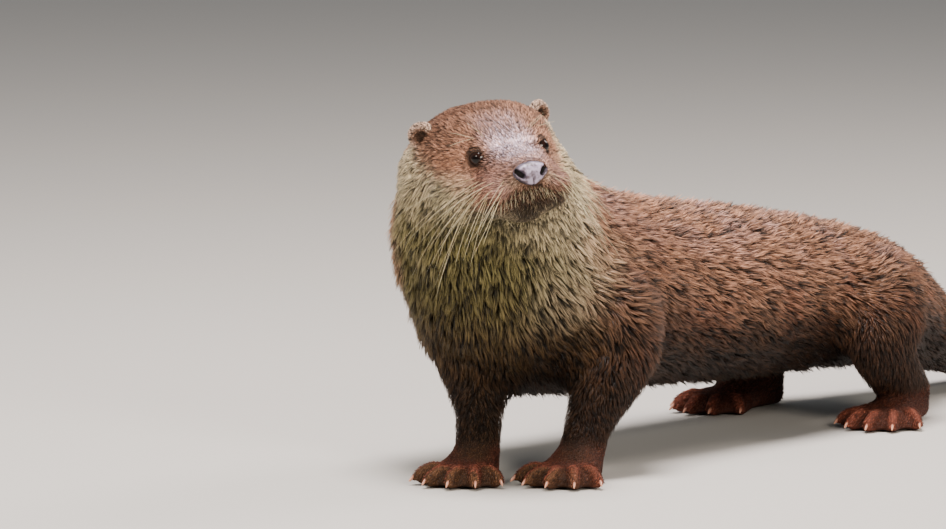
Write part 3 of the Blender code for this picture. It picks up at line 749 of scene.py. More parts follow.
@dataclass(frozen=True)
class Markings:
    """Where the coat is pale, rusty or dark, some of its dark being painted shade, and where it has a
    painted sheen. Skin and coat both read it.
    """

    chest_turn: float = math.radians(28)
    chest_middle: tuple[float, float] = (-0.030, -0.400)
    chest_edges: tuple[float, float] = (-0.050, 0.082)
    chest_back: float = -0.290
    noise_scale: float = 1 / 0.022
    # Each of these rows gives pale, rust, dark and painted sheen.
    ear_tone: tuple[float, float, float, float] = (0.10, 0.22, 0.06, 0.08)
    ear_rim: tuple[float, float, float, float] = (0.34, 0.1, 0, 0.08)
    # Painted shade in the ear's cup.
    ear_hollow: tuple[float, float, float, float] = (0, 0, 1, 0)
    face: Face = field(default_factory=Face)

    def across(self, points: Array) -> Array:
        """How many metres each place lies to the left of the bib's middle."""
        left = np.array([math.cos(self.chest_turn), math.sin(self.chest_turn)])
        return (points[:, :2] - np.array(self.chest_middle)) @ left

    def chest(self, points: Array, normals: Array, wobble: Array) -> Array:
        """How pale the throat and chest are.

        Args:
            points: Rows in the model's frame.
            normals: The surface's directions there.
            wobble: Noise from -1 to 1 that breaks the edges.

        Returns:
            0 outside the bib, 1 on the throat, less towards the belly: partly the bib's own fading and
            partly painted shade.
        """
        ahead = np.array([math.sin(self.chest_turn), -math.cos(self.chest_turn), -0.15])
        across = self.across(points)
        low, high = self.chest_edges
        facing = normals @ (ahead / np.linalg.norm(ahead)) + 0.24 * smoothstep(-0.015, -0.045, across)
        found = smoothstep(0.12, 0.50, facing + 0.10 * wobble)
        narrower = 0.008 + 0.022 * smoothstep(0.162, 0.182, points[:, 2])
        found *= smoothstep(high + 0.026, high - 0.034, across + narrower + 0.016 * wobble)
        found *= smoothstep(low - 0.008, low + 0.006, across + 0.004 * wobble)
        found *= smoothstep(self.chest_back + 0.02, self.chest_back - 0.06, points[:, 1] + 0.010 * wobble)
        # The bib fades lower down, partly with painted shade under the head.
        return found * (0.55 + 0.45 * smoothstep(0.060, 0.130, points[:, 2] + 0.012 * wobble))

    def on_head(self, local: Array) -> Array:
        """1 for places of the head's frame that lie on the head, fading to 0 behind it."""
        ahead, aside, above = local.T
        return smoothstep(-0.105, -0.070, ahead) * smoothstep(0.085, 0.060, np.hypot(aside, above + 0.005))

    def on_body(self, points: Array, normals: Array, regions: Array, wobble: Array) -> Array:
        """The markings behind the head: dark low flanks and legs, partly painted shade, a pale bib, rusty
        toes and painted sheen.

        Args:
            points: Rows in the model's frame.
            normals: Smooth directions of the surface there.
            regions: The value of each place's Region.
            wobble: Noise from -1 to 1 that breaks the edges.

        Returns:
            Rows of pale, rust, dark and painted sheen.
        """
        height, across = points[:, 2], self.across(points)
        belly = 0.25 * smoothstep(-0.35, -0.85, normals[:, 2]) * smoothstep(0.030, 0.060, height)
        pale = np.clip(self.chest(points, normals, wobble) + belly, 0, 1)

        limb = np.isin(regions, (Region.LEG, Region.PAW))
        # The flanks and legs darken towards the ground: partly wetter, darker fur and partly painted shade
        # from the light above.
        top = 0.145 + 0.042 * smoothstep(-0.23, -0.33, points[:, 1]) * smoothstep(0.02, 0.05, across)
        top = top + 0.030 * smoothstep(0.060, 0.100, across) * smoothstep(-0.22, -0.32, points[:, 1])
        low = smoothstep(top, 0.052, height) * np.where(limb, 1.0, 0.72)
        low *= 1 - 0.75 * smoothstep(0.10, 0.24, points[:, 1])
        # Places that face down darken further: painted shade.
        under = 0.35 * smoothstep(0.2, -0.5, normals[:, 2]) * smoothstep(0.19, 0.12, height)

        paw = regions == Region.PAW
        away, along = PAWS.toes(points)
        toes = paw * smoothstep(0.034, 0.016, height + 0.004 * wobble)
        ridge = toes * smoothstep(4.4 * MM, 1.4 * MM, away) * smoothstep(-0.2, 0.5, along)
        rust = 0.30 * smoothstep(-0.3, 0.5, wobble) + toes
        # Toes are lighter along their ridges than in the webs between: painted highlight and painted shade.
        dark = np.clip(0.95 * low + under * (1 - limb), 0, 1) * (1 - 0.20 * toes - 0.52 * ridge)

        wrist = paw * smoothstep(0.020, 0.032, height) * smoothstep(0.056, 0.044, height)
        # A painted sheen: lighter tips where the fur faces up, and on the tops of the wrists.
        frost = 0.18 * smoothstep(0.15, 0.85, normals[:, 2]) * smoothstep(-0.25, 0.45, wobble)
        frost = frost * (height > 0.1) + 0.5 * wrist * smoothstep(0.0, 0.6, normals[:, 2])
        return np.stack([pale, rust, dark, frost], axis=1)

    def on_ears(self, rows: Array, points: Array, regions: Array) -> None:
        """Writes the ears' markings over the head's: a pale rim round a cup darkened with painted shade.

        Args:
            rows: The markings, which are changed in place.
            points: Rows in the model's frame.
            regions: The value of each place's Region.
        """
        for ear in (Ear(side) for side in Side):
            inside = ear.inside(points)
            radial = ear.radial(inside)
            # The cup is darkened: painted shade in the hollow.
            hollow = 0.75 * smoothstep(0.66, 0.36, radial) * (inside[:, 0] > ear.back)
            rim = smoothstep(0.55, 0.85, radial)
            tones = np.array(self.ear_tone) + rim[:, None] * np.array(self.ear_rim)
            tones = tones + hollow[:, None] * np.array(self.ear_hollow)
            near = (regions == Region.EAR) & (np.linalg.norm(inside, axis=1) < 1.6)
            rows[near] = tones[near]

    def at(self, points: Array, normals: Array, regions: Array) -> tuple[Array, Array]:
        """The markings at each place.

        Args:
            points: Rows in the model's frame.
            normals: Smooth directions of the surface there.
            regions: The value of each place's Region.

        Returns:
            Rows of pale, rust, dark and painted sheen from 0 to 1, and how olive and shaded the pale hair
            is.
        """
        wobble = np.array([noise.noise(Vector(p) * self.noise_scale) for p in points])
        local = HEAD.inward(points)
        head = self.on_head(local)
        body = self.on_body(points, normals, regions, wobble)
        face = [
            self.face.pale(local, wobble),
            self.face.rust(local),
            self.face.dark(local, wobble),
            self.face.frost(local),
        ]
        rows = body + (np.stack(face, axis=1) - body) * head[:, None]
        self.on_ears(rows, points, regions)
        rows[:, 3] *= 1 - rows[:, 2]

        # Low on throat and chest the pale hair turns olive and darker: partly its own tint, partly painted
        # shade under head and chest.
        height, across = points[:, 2], self.across(points)
        middle = smoothstep(0.084, 0.010, across + 0.012 * wobble) * smoothstep(-0.072, -0.044, across)
        middle = np.maximum(middle, smoothstep(0.120, 0.090, height))
        olive = smoothstep(0.216, 0.158, height + 0.010 * wobble) * middle
        return np.clip(rows, 0, 1), olive * (1 - head * np.clip(2 * rows[:, 1], 0, 1))


# ---- finishes


@dataclass(frozen=True)
class Fur:
    """Guard hair over underfur, damp: each colour from the hair's dark root to its lighter tip; the dark
    roots are partly the hair's own and partly painted shade deep in the coat.
    """

    brown: tuple[str, str] = ("#25120b", "#d8a07e")
    cream: tuple[str, str] = ("#1c1209", "#fae6c0")
    # Olive, much darker than cream: partly the hair's own tint and partly painted shade low on throat and
    # chest.
    olive: tuple[str, str] = ("#161206", "#8a8050")
    rust: tuple[str, str] = ("#38190f", "#d09a80")
    brick: tuple[str, str] = ("#2a0d08", "#da7c60")
    dark: tuple[str, str] = ("#060302", "#342011")
    # A pale mauve painted sheen: the sky's reflection on damp fur.
    frost: tuple[str, str] = ("#3a2628", "#fbe6f4")

    def colour(self, tree: NodeTree) -> NodeSocket:
        """The nodes that mix the colours by marking, by place along the hair and by tuft.

        Args:
            tree: The material's node tree.

        Returns:
            The socket with the colour.
        """
        mark = add_node(tree, "ShaderNodeAttribute", {"attribute_name": "mark"}, {})
        strand = add_node(tree, "ShaderNodeAttribute", {"attribute_name": "strand"}, {})
        marks = add_node(tree, "ShaderNodeSeparateColor", {}, {"Color": mark.outputs["Color"]}).outputs
        strands = add_node(tree, "ShaderNodeSeparateColor", {}, {"Color": strand.outputs["Color"]}).outputs
        colours = {}
        for name, (root, tip) in vars(self).items():
            ends = {"data_type": "RGBA", FIRST: linear(root), SECOND: linear(tip)}
            colours[name] = add_node(tree, "ShaderNodeMix", ends, {"Factor": strands["Red"]}).outputs[MIXED]
        # The mark's alpha lays on the painted sheen.
        blends = (
            ("warm", strands["Blue"], "rust", "brick"),
            ("pale", strands["Blue"], "cream", "olive"),
            ("coat", marks["Green"], "brown", "warm"),
            ("coat", marks["Red"], "coat", "pale"),
            ("coat", mark.outputs["Alpha"], "coat", "frost"),
            ("coat", marks["Blue"], "coat", "dark"),
        )
        for result, share, first, second in blends:
            links = {"Factor": share, FIRST: colours[first], SECOND: colours[second]}
            colours[result] = add_node(tree, "ShaderNodeMix", {"data_type": "RGBA"}, links).outputs[MIXED]
        # The tuft's shade, which carries painted highlight and painted shade, scales the colour's value.
        levels = {"To Min": 0.06, "To Max": 2.05}
        value = add_node(tree, "ShaderNodeMapRange", levels, {"Value": strands["Green"]})
        shaded = {"Value": value.outputs["Result"], "Color": colours["coat"]}
        return add_node(tree, "ShaderNodeHueSaturation", {}, shaded).outputs["Color"]

    def coat(self) -> Material:
        """Damp guard hair: smooth keratin shafts, with the soft gloss of a coat that has just dried.

        Returns:
            The coat's material.
        """
        values = {"Roughness": 0.40, "IOR": 1.55, "Specular IOR Level": 0.28}
        made, shader = new_material("damp_guard_hair", values)
        connect(shader, {"Base Color": self.colour(made.node_tree)})
        return made

    def underfur(self) -> Material:
        """Skin with its dense underfur: the coat's root colours, partly painted shade between the tufts,
        matt, with a fine nap of 0.7 mm.

        Returns:
            The skin's material.
        """
        made, shader = new_material("skin_with_underfur", {"Roughness": 0.8, "Specular IOR Level": 0.2})
        tree = made.node_tree
        place = add_node(tree, "ShaderNodeTexCoord", {}, {}).outputs["Object"]
        fuzz = {"Scale": 1 / (0.7 * MM), "Detail": 3.0, "Roughness": 0.6}
        nap = add_node(tree, "ShaderNodeTexNoise", fuzz, {"Vector": place}).outputs["Fac"]
        bump = add_node(tree, "ShaderNodeBump", {"Strength": 0.5, "Distance": 0.3 * MM}, {"Height": nap})
        connect(shader, {"Base Color": self.colour(tree), "Normal": bump.outputs["Normal"]})
        return made


@dataclass(frozen=True)
class NoseLeather:
    """Bare moist skin of the nose: a pebbled leather with facets about 0.7 mm across, unevenly tinted."""

    # Grey-mauve: partly the leather's own grey and partly a painted reflection of the sky on wet skin.
    base: str = "#a799b2"
    mottle: str = "#5c4d57"
    # Near-black: painted shade in the nostrils, the middle groove and round the pad's edge.
    groove: str = "#0a0505"
    pebble: float = 0.7 * MM
    patch: float = 3.5 * MM

    def material(self) -> Material:
        """Leather that catches soft lights on its pebbles, and is dull and near-black in its hollows and
        round its edge: painted shade.

        Returns:
            The nose's material, whose attribute says how much painted shade a place takes: most in the
            nostrils and groove, some round the edge.
        """
        made, shader = new_material("moist_nose_leather", {"Coat Weight": 0.15, "Coat Roughness": 0.25})
        tree = made.node_tree
        place = add_node(tree, "ShaderNodeTexCoord", {}, {}).outputs["Object"]
        hollow = add_node(tree, "ShaderNodeAttribute", {"attribute_name": "mark"}, {}).outputs["Fac"]
        clouds = {"Scale": 1 / self.patch, "Detail": 3.0}
        pigment = add_node(tree, "ShaderNodeTexNoise", clouds, {"Vector": place}).outputs["Fac"]
        edges = {"From Min": 0.42, "From Max": 0.62}
        share = add_node(tree, "ShaderNodeMapRange", edges, {"Value": pigment})
        ends = {"data_type": "RGBA", FIRST: linear(self.base), SECOND: linear(self.mottle)}
        skin = add_node(tree, "ShaderNodeMix", ends, {"Factor": share.outputs["Result"]}).outputs[MIXED]
        depth = {"data_type": "RGBA", SECOND: linear(self.groove)}
        colour = add_node(tree, "ShaderNodeMix", depth, {"Factor": hollow, FIRST: skin}).outputs[MIXED]
        cells = add_node(tree, "ShaderNodeTexVoronoi", {"Scale": 1 / self.pebble}, {"Vector": place})
        raised = {"Strength": 0.8, "Distance": 0.22 * MM, "invert": True}
        bump = add_node(tree, "ShaderNodeBump", raised, {"Height": cells.outputs["Distance"]})
        gloss = add_node(tree, "ShaderNodeMapRange", {"To Min": 0.34, "To Max": 1.0}, {"Value": hollow})
        connect(shader, {"Base Color": colour, "Normal": bump.outputs["Normal"]})
        connect(shader, {"Roughness": gloss.outputs["Result"]})
        return made


@dataclass(frozen=True)
class EyeGloss:
    """A wet eye: near-black pupil and dark brown iris under a film of tears."""

    pupil: str = "#0a0504"
    iris: str = "#20110b"
    rim: str = "#0a0503"

    def material(self) -> Material:
        """A deep dark ball with one sharp highlight.

        Returns:
            The eyes' material, whose attribute says how far a place is from the pupil's middle.
        """
        made, shader = new_material("wet_eye", {"Roughness": 0.04, "IOR": 1.34})
        tree = made.node_tree
        mark = add_node(tree, "ShaderNodeAttribute", {"attribute_name": "mark"}, {})
        ramp = add_node(tree, "ShaderNodeValToRGB", {}, {"Fac": mark.outputs["Fac"]})
        pupil, iris = self.pupil, self.iris
        stops = ((0.0, pupil), (0.30, pupil), (0.50, iris), (0.66, iris), (0.84, self.rim))
        elements = ramp.color_ramp.elements
        while len(elements) < len(stops):
            elements.new(1.0)
        for element, (place, colour) in zip(elements, stops):
            element.position, element.color = place, linear(colour)
        connect(shader, {"Base Color": ramp.outputs["Color"]})
        return made


@dataclass(frozen=True)
class Horn:
    """Keratin, smooth and a little translucent: claws and whiskers."""

    name: str
    root: str
    tip: str
    roughness: float

    def material(self) -> Material:
        """Polished horn with light inside its thin edges, its colour running from root to tip.

        Returns:
            The material, whose attribute says how far along the horn a place is.
        """
        values = {
            "Roughness": self.roughness,
            "Subsurface Weight": 0.15,
            "Subsurface Radius": (1 * MM, 0.6 * MM, 0.4 * MM),
        }
        made, shader = new_material(self.name, values)
        tree = made.node_tree
        strand = add_node(tree, "ShaderNodeAttribute", {"attribute_name": "strand"}, {})
        ends = {"data_type": "RGBA", FIRST: linear(self.root), SECOND: linear(self.tip)}
        mix = add_node(tree, "ShaderNodeMix", ends, {"Factor": strand.outputs["Fac"]})
        connect(shader, {"Base Color": mix.outputs[MIXED]})
        return made


# ---- eyes and lids


@dataclass
class Eye:
    """One eyeball with a raised cornea, and the shape of the lids round it."""

    side: Side
    radius: float = 6.2 * MM
    cornea: float = 0.35 * MM
    cornea_edges: tuple[float, float] = (1.5 * MM, 4.6 * MM)
    iris_reach: float = 6.0 * MM
    aim: float = math.radians(44)
    aim_up: float = math.radians(4)
    half_width: float = 5.0 * MM
    half_height_above: float = 4.25 * MM
    half_height_below: float = 3.9 * MM
    inner_corner: float = 1.3 * MM
    lid: float = 0.40 * MM
    lid_spread: float = math.radians(40)
    lid_tuck: float = math.radians(5)
    lid_sink: float = 0.2 * MM
    fold: float = 0.35 * MM
    seam: float = 0.25 * MM

    def middle(self) -> Vector:
        """The eye's middle in the model's frame."""
        return middle_of(f"eye_{self.side.word}")

    def frame(self) -> Matrix:
        """The eye's axes: out of the head, towards the back of the head, and up.

        Returns:
            The matrix from the eye's frame to the model's.
        """
        turned = HEAD.matrix().to_3x3()
        out = Vector((math.cos(self.aim), self.side * math.sin(self.aim), math.tan(self.aim_up)))
        out = (turned @ out).normalized()
        up = turned @ UP
        up = (up - out * up.dot(out)).normalized()
        back = turned @ Vector((-math.sin(self.aim), self.side * math.cos(self.aim), 0.0))
        back = (back - out * back.dot(out) - up * back.dot(up)).normalized()
        return Matrix.Translation(self.middle()) @ Matrix((out, back, up)).transposed().to_4x4()

    def polar(self, points: Array) -> tuple[Array, Array, Array, Array]:
        """Where places lie round the eye.

        Args:
            points: Rows in the model's frame.

        Returns:
            The places in the eye's frame, how far they are from its middle, and the angles from its axis
            and round it.
        """
        local = transformed(self.frame().inverted(), points)
        distance = np.linalg.norm(local, axis=1)
        angle = np.arccos(np.clip(local[:, 0] / np.maximum(distance, TINY), -1, 1))
        return local, distance, angle, np.arctan2(local[:, 2], local[:, 1])

    def opening(self, around: Array) -> Array:
        """The lids' opening as an angle from the eye's axis.

        Args:
            around: Angles round the axis, 0 towards the back of the head and a quarter turn upwards.

        Returns:
            The angle from the axis to the lid's edge.
        """
        across, rise = np.cos(around), np.sin(around)
        tall = np.where(rise > 0, self.half_height_above, self.half_height_below)
        radius = 1.0 / np.sqrt((across / self.half_width) ** 2 + (rise / tall) ** 2)
        radius = radius + self.inner_corner * np.clip(-across, 0, 1) ** 8
        return np.arcsin(np.clip(radius / self.radius, 0, 0.97))

    def ball(self, material: Material) -> Object:
        """The eyeball with its cornea, its middle facing out between the lids.

        Args:
            material: The eyes' material.

        Returns:
            The finished piece.
        """
        ball = bpy.ops.mesh.primitive_uv_sphere_add
        obj = primitive(f"eyeball_{self.side.word}", ball, segments=48, ring_count=36, radius=self.radius)
        points = transformed(Matrix.Rotation(math.pi / 2, 4, "Y"), points_of(obj.data))
        # The back half counts as far from the pupil.
        off = np.linalg.norm(points[:, 1:], axis=1) * np.where(points[:, 0] > 0, 1, 10)
        inner, outer = self.cornea_edges
        points[:, 0] += self.cornea * smoothstep(outer, inner, off)
        put_attribute(obj.data, "mark", np.clip(off / self.iris_reach, 0, 1))
        move_points(obj.data, transformed(self.frame(), points))
        obj.data.shade_smooth()
        dress(obj, material)
        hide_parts(f"eye_{self.side.word}")
        return obj

    def lid_rings(
        self, reach: Callable[[Vector], float], steps: int = 64, rows: int = 9
    ) -> tuple[Array, Array, Array]:
        """The lids as rings round the opening, from inside their edge out to the skin.

        Args:
            reach: Gives the skin's distance from the eye's middle in a direction.
            steps: Points round the opening.
            rows: Rings from the edge to the skin.

        Returns:
            Points in rings, the angle of each ring point from the axis, and its distance from the middle.
        """
        place = self.frame()
        around = np.arange(steps) * math.tau / steps
        start = self.opening(around)
        rings, angles, reaches = [], [], []
        for row in range(rows):
            share = max(row - 1, 0) / (rows - 2)
            angle = start + self.lid_spread * share - (0.0 if row else self.lid_tuck)
            ways = [np.cos(angle), np.sin(angle) * np.cos(around), np.sin(angle) * np.sin(around)]
            world = np.stack(ways, axis=1) @ np.array(place)[:3, :3].T
            skin = np.array([reach(Vector(way)) for way in world])
            edge = self.radius + (self.lid if row else -self.lid_sink)
            fold = self.fold * math.sin(math.pi * min(share * 2.2, 1.0)) * (1.0 + 0.6 * np.sin(around))
            blend = smoothstep(0.0, 1.0, share)
            distance = edge * (1 - blend) + (skin - self.seam) * blend + (fold if row else 0.0)
            rings.append(np.array(place.translation) + world * distance[:, None])
            angles.append(angle)
            reaches.append(distance)
        return np.array(rings), np.array(angles), np.array(reaches)


# ---- the skin


@dataclass
class Skin:
    """One skin over head, trunk, legs and tail, inside the solids by the coat's depth."""

    voxel: float = 2.7 * MM
    close: float = 0.35 * MM
    passes: int = 10
    face_middle: Triple = (0.008, 0.0, -0.014)
    face_reach: float = 0.052
    toe_reach: float = 0.009
    toe_height: float = 0.034
    crease: float = 1.9 * MM
    crease_width: float = 1.7 * MM
    lip_groove: float = 1.0 * MM
    lip_groove_width: float = 0.9 * MM
    nose_half_sizes: tuple[float, float] = (11.2 * MM, 8.0 * MM)
    nose_below: float = 12.6 * MM
    nose_sink: float = 6.5 * MM
    eye_reach: float = 0.022
    lid_gap: float = 0.9 * MM
    socket_gap: float = 1.2 * MM

    def fused(self) -> Object:
        """Copies the solids of flesh and fuses them into one closed mesh at the coat's outline.

        Returns:
            The fused mesh.
        """
        copies = []
        for name in NODE_REGIONS:
            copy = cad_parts[name].copy()
            copy.data = copy.data.copy()
            copy.parent = None
            for key in list(copy.keys()):
                del copy[key]
            bpy.context.scene.collection.objects.link(copy)
            copies.append(copy)
        only(*copies)
        bpy.ops.object.join()
        skin = bpy.context.object
        skin.name = "skin"
        bpy.ops.object.mode_set(mode="EDIT")
        bpy.ops.mesh.select_all(action="SELECT")
        bpy.ops.mesh.remove_doubles(threshold=0.02 * MM)
        bpy.ops.mesh.customdata_custom_splitnormals_clear()
        bpy.ops.object.mode_set(mode="OBJECT")
        apply_modifier(skin, "DISPLACE", strength=self.close, mid_level=0.0)
        apply_modifier(skin, "REMESH", mode="VOXEL", voxel_size=self.voxel)
        apply_modifier(skin, "SMOOTH", factor=0.5, iterations=self.passes)
        return skin

    def refine(self, skin: Object) -> None:
        """Splits the faces of the muzzle, the eyes and the toes into smaller ones.

        Args:
            skin: The fused mesh.
        """
        middles = np.array([polygon.center[:] for polygon in skin.data.polygons])
        off = HEAD.inward(middles) - np.array(self.face_middle)
        near = np.linalg.norm(off, axis=1) < self.face_reach
        away, along = PAWS.toes(middles)
        near |= (away < self.toe_reach) & (along > 0.0) & (middles[:, 2] < self.toe_height)
        skin.data.polygons.foreach_set("select", near)
        skin.data.edges.foreach_set("select", np.zeros(len(skin.data.edges), bool))
        skin.data.vertices.foreach_set("select", np.zeros(len(skin.data.vertices), bool))
        only(skin)
        bpy.ops.object.mode_set(mode="EDIT")
        bpy.ops.mesh.select_mode(type="FACE")
        bpy.ops.mesh.subdivide(number_cuts=1, smoothness=0.0)
        bpy.ops.mesh.vertices_smooth(factor=0.5, repeat=2)
        bpy.ops.object.mode_set(mode="OBJECT")

    def regions(self, points: Array) -> Array:
        """The region of each place, from the nearest solid.

        Args:
            points: Rows in the model's frame.

        Returns:
            Values of Region.
        """
        corners, faces, owners = [], [], []
        for name, region in NODE_REGIONS.items():
            mesh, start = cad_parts[name].data, len(corners)
            corners.extend(vertex.co.copy() for vertex in mesh.vertices)
            faces.extend([start + index for index in polygon.vertices] for polygon in mesh.polygons)
            owners.extend([region.value] * len(mesh.polygons))
        tree = BVHTree.FromPolygons(corners, faces)
        return np.array([owners[tree.find_nearest(Vector(p))[2]] for p in points])

    def depth(self, surface: Surface, regions: Array) -> Array:
        """How deep the skin lies under the coat's tips.

        Args:
            surface: The fused mesh.
            regions: The region of each of its vertices.

        Returns:
            Metres at each vertex.
        """
        depth = np.array([DEPTHS[region] for region in Region])[regions]
        ahead, _, above = HEAD.inward(surface.points).T
        back = smoothstep(0.016, -0.050, ahead)
        low = smoothstep(0.006, -0.022, above)
        face = (0.8 + back * (1.1 + 3.0 * low)) * MM
        depth = np.where(regions == Region.HEAD, face, depth)
        thigh = smoothstep(0.055, 0.105, surface.points[:, 2]) * (regions == Region.LEG)
        depth = depth + thigh * (DEPTHS[Region.TRUNK] - DEPTHS[Region.LEG])
        thin = smoothstep(0.18, 0.45, surface.points[:, 1])
        depth = np.where(regions == Region.TAIL, depth * (1 - 0.72 * thin), depth)
        return surface.smoothed(depth, 24)

    def carve(self, points: Array, normals: Array) -> Array:
        """The mouth's crease, the groove under the nose and the bed that the nose pad sits in.

        Args:
            points: The skin's places.
            normals: Its directions.

        Returns:
            The moved places.
        """
        local = HEAD.inward(points)
        folded = local * np.array([1, 0, 1]) + np.abs(local) * np.array([0, 1, 0])
        line = np.array(MOUTH)
        away = np.full(len(points), 1.0)
        for start, end in zip(line, line[1:]):
            away = np.minimum(away, along_line(folded, start, end)[0])
        crease = self.crease * np.exp(-((away / self.crease_width) ** 2))
        ahead, aside, above = local.T
        groove = np.exp(-((aside / self.lip_groove_width) ** 2)) * smoothstep(0.024, 0.030, ahead)
        groove *= smoothstep(-0.030, -0.026, above) * smoothstep(-0.016, -0.020, above)
        wide, tall = self.nose_half_sizes
        pad = np.sqrt((aside / wide) ** 2 + ((above + self.nose_below) / tall) ** 2)
        sunk = self.nose_sink * smoothstep(1.0, 0.72, pad) * (ahead > 0.018)
        forwards = np.array(HEAD.matrix())[:3, 0]
        return points - normals * (crease + self.lip_groove * groove)[:, None] - forwards * sunk[:, None]

    def open_lids(self, skin: Object) -> list[Object]:
        """Sinks the skin behind the eyes and models their lids.

        Args:
            skin: The carved skin.

        Returns:
            One ring of lids for each eye.
        """
        made = []
        for eye in (Eye(side) for side in Side):
            points = points_of(skin.data)
            tree = BVHTree.FromObject(skin, bpy.context.evaluated_depsgraph_get())
            centre = eye.middle()

            def reach(way: Vector) -> float:
                """The skin's distance from the eye's middle, with a fair guess where the ray misses."""
                hit = tree.ray_cast(centre, way, 0.03)
                return hit[3] if hit[0] else eye.radius + 1.0 * MM

            rings, angles, reaches = eye.lid_rings(reach)
            rows, steps = angles.shape
            local, distance, angle, turn = eye.polar(points)
            around = np.mod(turn, math.tau) / math.tau * steps
            column = np.round(around).astype(int) % steps
            near = (distance < self.eye_reach) & (angle < angles[-1][column])
            limit = distance.copy()
            for i in np.where(near)[0]:
                lid = np.interp(angle[i], angles[1:, column[i]], reaches[1:, column[i]])
                gap = self.lid_gap * (1 - smoothstep(0.80, 1.0, angle[i] / angles[-1][column[i]]))
                sunk = eye.radius - self.socket_gap if angle[i] < angles[1][column[i]] else lid - gap
                limit[i] = min(distance[i], sunk)
            local *= (limit / np.maximum(distance, TINY))[:, None]
            move_points(skin.data, np.where(near[:, None], transformed(eye.frame(), local), points))
            faces = []
            for row in range(rows - 1):
                for step in range(steps):
                    a, b = row * steps + step, row * steps + (step + 1) % steps
                    faces.append((a, b, b + steps, a + steps))
            ring = new_mesh(f"lid_{eye.side.word}", rings.reshape(-1, 3), np.array(faces))
            if ring.data.polygons[steps * 4].normal.dot(Vector(rings[4][0]) - centre) < 0:
                ring.data.flip_normals()
            made.append(ring)
        return made

    def build(self) -> tuple[Object, Surface, Array, Array]:
        """Makes the skin.

        Returns:
            The skin, its arrays, the region of each vertex and the coat's depth there.
        """
        skin = self.fused()
        self.refine(skin)
        outline = Surface(skin)
        regions = self.regions(outline.points)
        depth = self.depth(outline, regions)
        even = unit(outline.smoothed(outline.normals, 3))
        # Where legs and trunk meet, the outline is smoothed into one.
        limb = outline.smoothed((regions == Region.LEG).astype(float), 30)
        join = 4 * limb * (1 - limb) * smoothstep(0.050, 0.080, outline.points[:, 2])
        joined = outline.points + (outline.smoothed(outline.points, 60) - outline.points) * join[:, None]
        move_points(skin.data, joined - even * depth[:, None])
        carved = Surface(skin)
        toed = PAWS.shaped(carved.points, unit(carved.smoothed(carved.normals, 2)))
        move_points(skin.data, self.carve(toed, carved.normals))
        lids = self.open_lids(skin)
        ears = [Ear(side).shell() for side in Side]
        for layer, objects in zip(Layer, ([skin], lids, ears)):
            for obj in objects:
                label(obj.data, layer)
        only(skin, *lids, *ears)
        bpy.ops.object.join()
        skin.data.shade_smooth()
        self.unwrap(skin)
        surface = Surface(skin)
        layers = read_rows(skin.data.attributes["kind"].data, "value", 1, np.int32)[:, 0]
        body = layers == Layer.BODY
        all_regions = np.where(layers == Layer.EARS, Region.EAR, Region.HEAD)
        all_regions[body] = regions
        all_depth = np.full(len(layers), THIN)
        all_depth[body] = depth
        return skin, surface, all_regions, all_depth

    def unwrap(self, skin: Object) -> None:
        """Unwraps the skin by its own shape.

        Args:
            skin: The finished skin.
        """
        only(skin)
        for layer in list(skin.data.uv_layers):
            skin.data.uv_layers.remove(layer)
        skin.data.uv_layers.new(name="unwrap")
        bpy.ops.object.mode_set(mode="EDIT")
        bpy.ops.mesh.select_all(action="SELECT")
        bpy.ops.uv.smart_project(angle_limit=math.radians(66), island_margin=0.002)
        bpy.ops.object.mode_set(mode="OBJECT")


# ---- ears


@dataclass
class Ear:
    """One small round ear: a cupped shell with a rolled rim."""

    side: Side
    aim: float = math.radians(36)
    lean: float = math.radians(14)
    ahead: float = -52.0 * MM
    aside: float = 40.2 * MM
    above: float = 14.8 * MM
    half_sizes: Triple = (3.8 * MM, 8.7 * MM, 8.2 * MM)
    cup: float = 3.8 * MM
    cup_below: float = 0.12
    rim: float = 0.25 * MM
    back: float = -0.9

    def frame(self) -> Matrix:
        """The ear's axes: out of its cup, across it, and towards its tip.

        Returns:
            The matrix from the ear's frame to the model's.
        """
        lean = Matrix.Rotation(self.side * self.aim, 4, "Z")
        lean = lean @ Matrix.Rotation(-self.side * self.lean, 4, "X")
        place = Matrix.Translation((self.ahead, self.side * self.aside, self.above))
        return HEAD.matrix() @ place @ lean

    def inside(self, points: Array) -> Array:
        """Rows in the model's frame as shares of the ear's half sizes along its own axes."""
        return transformed(self.frame().inverted(), points) / np.array(self.half_sizes)

    def radial(self, inside: Array) -> Array:
        """How far such shares lie from the middle of the cup, as seen from its front."""
        return np.hypot(inside[:, 1], inside[:, 2] + self.cup_below)

    def shell(self) -> Object:
        """The ear's skin, which its caller joins to the rest.

        Returns:
            A closed shell with its cup pressed in.
        """
        obj = primitive(f"ear_shell_{self.side.word}", bpy.ops.mesh.primitive_cube_add, size=2.0)
        apply_modifier(obj, "SUBSURF", levels=4, render_levels=4, subdivision_type="SIMPLE")
        points = unit(points_of(obj.data))
        out, radial = points[:, 0], self.radial(points)
        hollow = self.cup * smoothstep(0.80, 0.30, radial) * (out > 0)
        rim = self.rim * np.exp(-(((radial - 0.86) / 0.16) ** 2)) * (out > -0.2)
        points = points * np.array(self.half_sizes)
        points[:, 0] += rim - hollow
        move_points(obj.data, transformed(self.frame(), points))
        obj.data.shade_smooth()
        return obj


# ---- the coat


@dataclass(frozen=True)
class Pelage:
    """How one region's coat grows: sizes in metres, seeds for each square metre."""

    length: float
    width: float
    density: float
    clump: float
    pull: float


